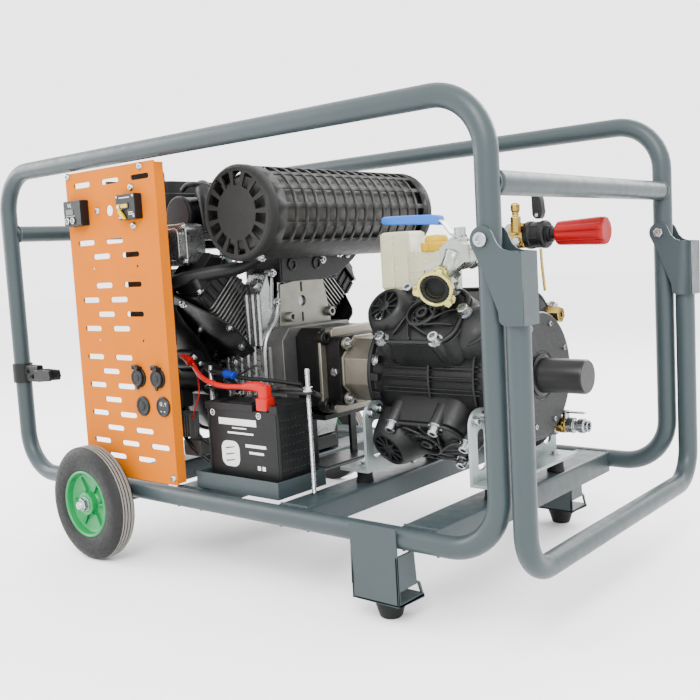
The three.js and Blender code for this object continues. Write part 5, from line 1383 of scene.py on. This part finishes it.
# ---------------------------------------------------------------- pressure regulator
REG_Y, REG_Z = 90.0, 547.0
block = Shape()
block.slab(rounded(REG_Y - 19, REG_Y + 19, 526, 568, 5, 4), "x", 372, 404)
block.turn((0, REG_Y, REG_Z), ALONG, [(13, 404), (16, 404), (16, 345), (12, 345), (0.1, 345)][::-1], 8)
block.turn((0, REG_Y, REG_Z), ALONG, disc(18, 346, 358), 6)
block.rod((370, 90, 470), (370, 90, 527), 8, n=20)
for z in (478, 500, 520):
    block.turn((370, 90, z), UP, stub(12.5, -4, 5), 6)
block.rod((388, REG_Y - 26, 556), (388, REG_Y - 18, 556), 8, n=20)
block.rod((396, 80, 560), (398, 62, 560), 7, n=20)
block.turn((398, 58, 552), UP, [(9, 0), (9, 26), (6, 28), (6, 34), (8, 36), (8, 46), (5.4, 49), (0.1, 49)], 8)
show("regulator_block", block, BRASS, replaces="regulator_body", bevel=1.0)
nuts = Shape()
for x in (366, 376):
    nuts.turn((x, REG_Y, REG_Z), ALONG, stub(17, 0, 6), 6)
nuts.turn((392, REG_Y - 19, 538), FRONTWARD, stub(7, 0, 5), 6)
nuts.turn((378, REG_Y - 19, 560), FRONTWARD, stub(7, 0, 5), 6)
show("regulator_nuts", nuts, ZINC, bevel=0.5)
housing = Shape()
housing.turn((0, REG_Y, REG_Z), ALONG, [(0.1, 402), (22.4, 402), (23.4, 405), (23.4, 412), (21.4, 414),
                                        (21.4, 430), (23.4, 431), (23.4, 437), (21, 440), (14, 440),
                                        (14, 447), (9.5, 448), (9.5, 457), (0.1, 457)], 40)
for k in range(6):
    a = k * math.pi / 3 + 0.3
    housing.rod((412, REG_Y + 19.2 * math.cos(a), REG_Z + 19.2 * math.sin(a)),
                (432, REG_Y + 19.2 * math.cos(a), REG_Z + 19.2 * math.sin(a)), 3.4, n=12)
show("regulator_housing", housing, PLASTIC, bevel=0.8)
bypass = Shape()
bypass.slab([(415, 580), (417.4, 576), (421, 573), (427, 573), (430.6, 576), (433, 584), (431, 604),
             (425, 622), (422, 628), (417, 628), (414, 618)], "y", 82.4, 97.6)
bypass.rod((424, 81, 579), (424, 99, 579), 6, n=24)
show("bypass_blade", bypass, PLASTIC, "bypass_lever", "regulator_lever", bevel=1.4, segments=3)
bypass = Shape().rod((424, 80.2, 579), (424, 99.8, 579), 3, n=16)
show("bypass_pin", bypass, ZINC, "bypass_lever", bevel=0.3)

knob = Shape()
FLUTES, AROUND = 8, 96


def knob_ring(x, r, depth):
    ring = []
    for k in range(AROUND):
        a = 2 * math.pi * k / AROUND
        wave = (0.5 + 0.5 * math.cos(FLUTES * a)) ** 3
        radius = r - depth * wave
        ring.append((x, REG_Y + radius * math.cos(a), REG_Z + radius * math.sin(a)))
    return ring


knob.rings([knob_ring(458, 9.6, 0), knob_ring(458, 17, 0), knob_ring(460, 19.4, 0.4),
            knob_ring(466, 20.4, 2.4), knob_ring(500, 21.6, 3.4), knob_ring(526, 22.8, 3.8),
            knob_ring(536, 23, 3.4), knob_ring(540.5, 21.4, 1.6), knob_ring(542, 18.6, 0),
            knob_ring(541, 13, 0), knob_ring(541, 0.2, 0)])
show("knob_grip", knob, RED, "pressure_knob", "regulator_knob", bevel=0, angle=60)

line = Shape().hose([(424, 92, 524), (424, 94, 500), (425, 96, 476), (426, 98, 453)], 2.4, 12)
show("oil_line", line, BRASS, bevel=0)

# ---------------------------------------------------------------- pressure outlet
OUT_Y, OUT_Z = 84.0, 230.0
outlet = Shape()
outlet.turn((0, OUT_Y, OUT_Z), ALONG, [(0.1, 393), (9, 393), (9, 430), (13, 430), (13, 444), (8, 444),
                                       (8, 450), (14, 450), (14, 466), (8, 466), (8, 470), (0.1, 470)], 8)
outlet.ball((458, OUT_Y, OUT_Z), 14.4, 24)
show("outlet_body", outlet, BRASS, replaces="outlet_valve", bevel=0.8)
outlet = Shape()
outlet.turn((0, OUT_Y, OUT_Z), ALONG, [(0.1, 468), (13, 468), (13, 480), (9, 481), (9, 486), (12, 488),
                                       (12, 498), (9.6, 499), (9.6, 505), (6, 505), (6, 496), (0.1, 496)],
            24)
outlet.rod((464, OUT_Y, 240), (464, OUT_Y, 250), 6, n=18)
outlet.turn((444, OUT_Y, 252), UP, stub(7, -12, 2), 6)
outlet.turn((438, 106, 252), UP, [(9, -10), (9, 8), (6, 10), (6, 20), (0.1, 20)], 8)
show("outlet_fittings", outlet, ZINC, bevel=0.6)
lever = Shape().slab([(459, 77.5), (470, 78), (498, 80), (500, 84), (498, 88), (470, 90), (459, 90.5)], "z",
                     250.4, 253.2)
lever.turn((464, OUT_Y, 250.4), UP, [(7, 0), (7, 2.8), (4.6, 2.8), (4.6, 4.6), (0.1, 4.6)], 24)
show("outlet_blade", lever, ZINC, "outlet_handle", "outlet_lever", bevel=0.7)

# ---------------------------------------------------------------- engine base and small fittings
base = Shape().slab([(-92, 150), (92, 150), (84, 176), (-84, 176)], "x", -144, -44)
for y in (-110, 84):
    base.slab([(y, 144.4), (y + 26, 144.4), (y + 26, 196), (y + 4, 196)], "x", -106, -60)
base.box(-236, -150, -120, 120, 168, 184)
show("engine_base", base, BLACK_PAINT, bevel=2)
rectifier = Shape().box(-176, -128, -212, -200, 214, 262)
for k in range(7):
    rectifier.box(-174 + 7 * k, -171.5 + 7 * k, -222, -211, 216, 260)
rectifier.slab(rounded(-170, -122, 178, 208, 5, 4), "y", -206, -180)
show("rectifier", rectifier, GREY_CAST, bevel=0.8)
plugs = Shape().slab(rounded(-196, -152, 268, 300, 5, 4), "y", -214, -190)
plugs.hose([(-180, -200, 268), (-176, -206, 240), (-150, -208, 200), (-110, -196, 168)], 4, 10)
plugs.hose([(-160, -200, 268), (-140, -204, 236), (-120, -200, 210), (-84, -180, 186)], 3, 10)
for z0, z1 in ((236, 350), (386, 592), (664, 696)):
    plugs.slab(rounded(-226, -128, z0, z1, 6, 4), "y", -262, -238)
    plugs.box(-220, -212, -298, -250, z0 + 14, z0 + 20)
show("wiring_block", plugs, PLASTIC, bevel=1)
brace = Shape()
for y in (-66, 48):
    brace.slab([(y, 144.4), (y + 18, 144.4), (y + 18, 236), (y, 236)], "x", 20, 26)
brace.box(4, 62, -66, 66, 234, 244)
brace.box(-4, 60, -70, 70, 144.4, 149)
show("gearbox_stand", brace, BLACK_PAINT, bevel=1.2)

# ---------------------------------------------------------------- camera, light and floor
LENS, SENSOR, CAMERA_AT = 47.294, 36.0, (1.14125, -1.3028, 0.5277)
WORLD_LIGHT = 3.4
FLOOR_HALF, FLOOR_Z = 14, -0.0005

camera_data = bpy.data.cameras.new("camera")
camera_data.lens, camera_data.sensor_width = LENS, SENSOR
camera_data.clip_start, camera_data.clip_end = 0.05, 60.0
camera = bpy.data.objects.new("camera", camera_data)
bpy.context.scene.collection.objects.link(camera)
YAW, PITCH, ROLL = math.radians(39.77), math.radians(5.77), math.radians(-3.22)
forward = Vector((-math.sin(YAW) * math.cos(PITCH), math.cos(YAW) * math.cos(PITCH), -math.sin(PITCH)))
level = forward.cross(Vector((0, 0, 1))).normalized()
rise = level.cross(forward)
right = level * math.cos(ROLL) + rise * math.sin(ROLL)
upward = rise * math.cos(ROLL) - level * math.sin(ROLL)
turn = Matrix((right, upward, -forward)).transposed()
camera.matrix_world = Matrix.Translation(CAMERA_AT) @ turn.to_4x4()
bpy.context.scene.camera = camera

floor_mesh = bpy.data.meshes.new("floor")
corners = [(x * FLOOR_HALF, y * FLOOR_HALF, FLOOR_Z) for x, y in ((-1, -1), (1, -1), (1, 1), (-1, 1))]
floor_mesh.from_pydata(corners, [], [(0, 1, 2, 3)])
floor = bpy.data.objects.new("floor", floor_mesh)
bpy.context.scene.collection.objects.link(floor)
floor_mesh.materials.append(surface("floor_paper", (0.93, 0.93, 0.93), 0.8, tint=0.01, bump=0.0))

world = bpy.data.worlds.new("studio")
bpy.context.scene.world = world
world.use_nodes = True
world.node_tree.nodes["Background"].inputs["Color"].default_value = (1, 1, 1, 1)
world.node_tree.nodes["Background"].inputs["Strength"].default_value = WORLD_LIGHT


def softbox(name, at, target, power, size, tall=None):
    light = bpy.data.lights.new(name, "AREA")
    light.shape, light.energy, light.size = "RECTANGLE", power, size
    light.size_y = tall or size
    holder = bpy.data.objects.new(name, light)
    bpy.context.scene.collection.objects.link(holder)
    aim = (Vector(target) - Vector(at)).normalized()
    holder.matrix_world = Matrix.Translation(at) @ aim.to_track_quat("-Z", "Y").to_matrix().to_4x4()


softbox("key", (1.6, -2.4, 2.6), (0.0, 0.0, 0.4), 170.0, 1.6)
softbox("side", (-2.6, -1.2, 1.5), (0.0, 0.0, 0.4), 70.0, 1.2, 1.8)
softbox("back", (0.6, 2.6, 2.2), (0.0, 0.0, 0.5), 90.0, 1.8)
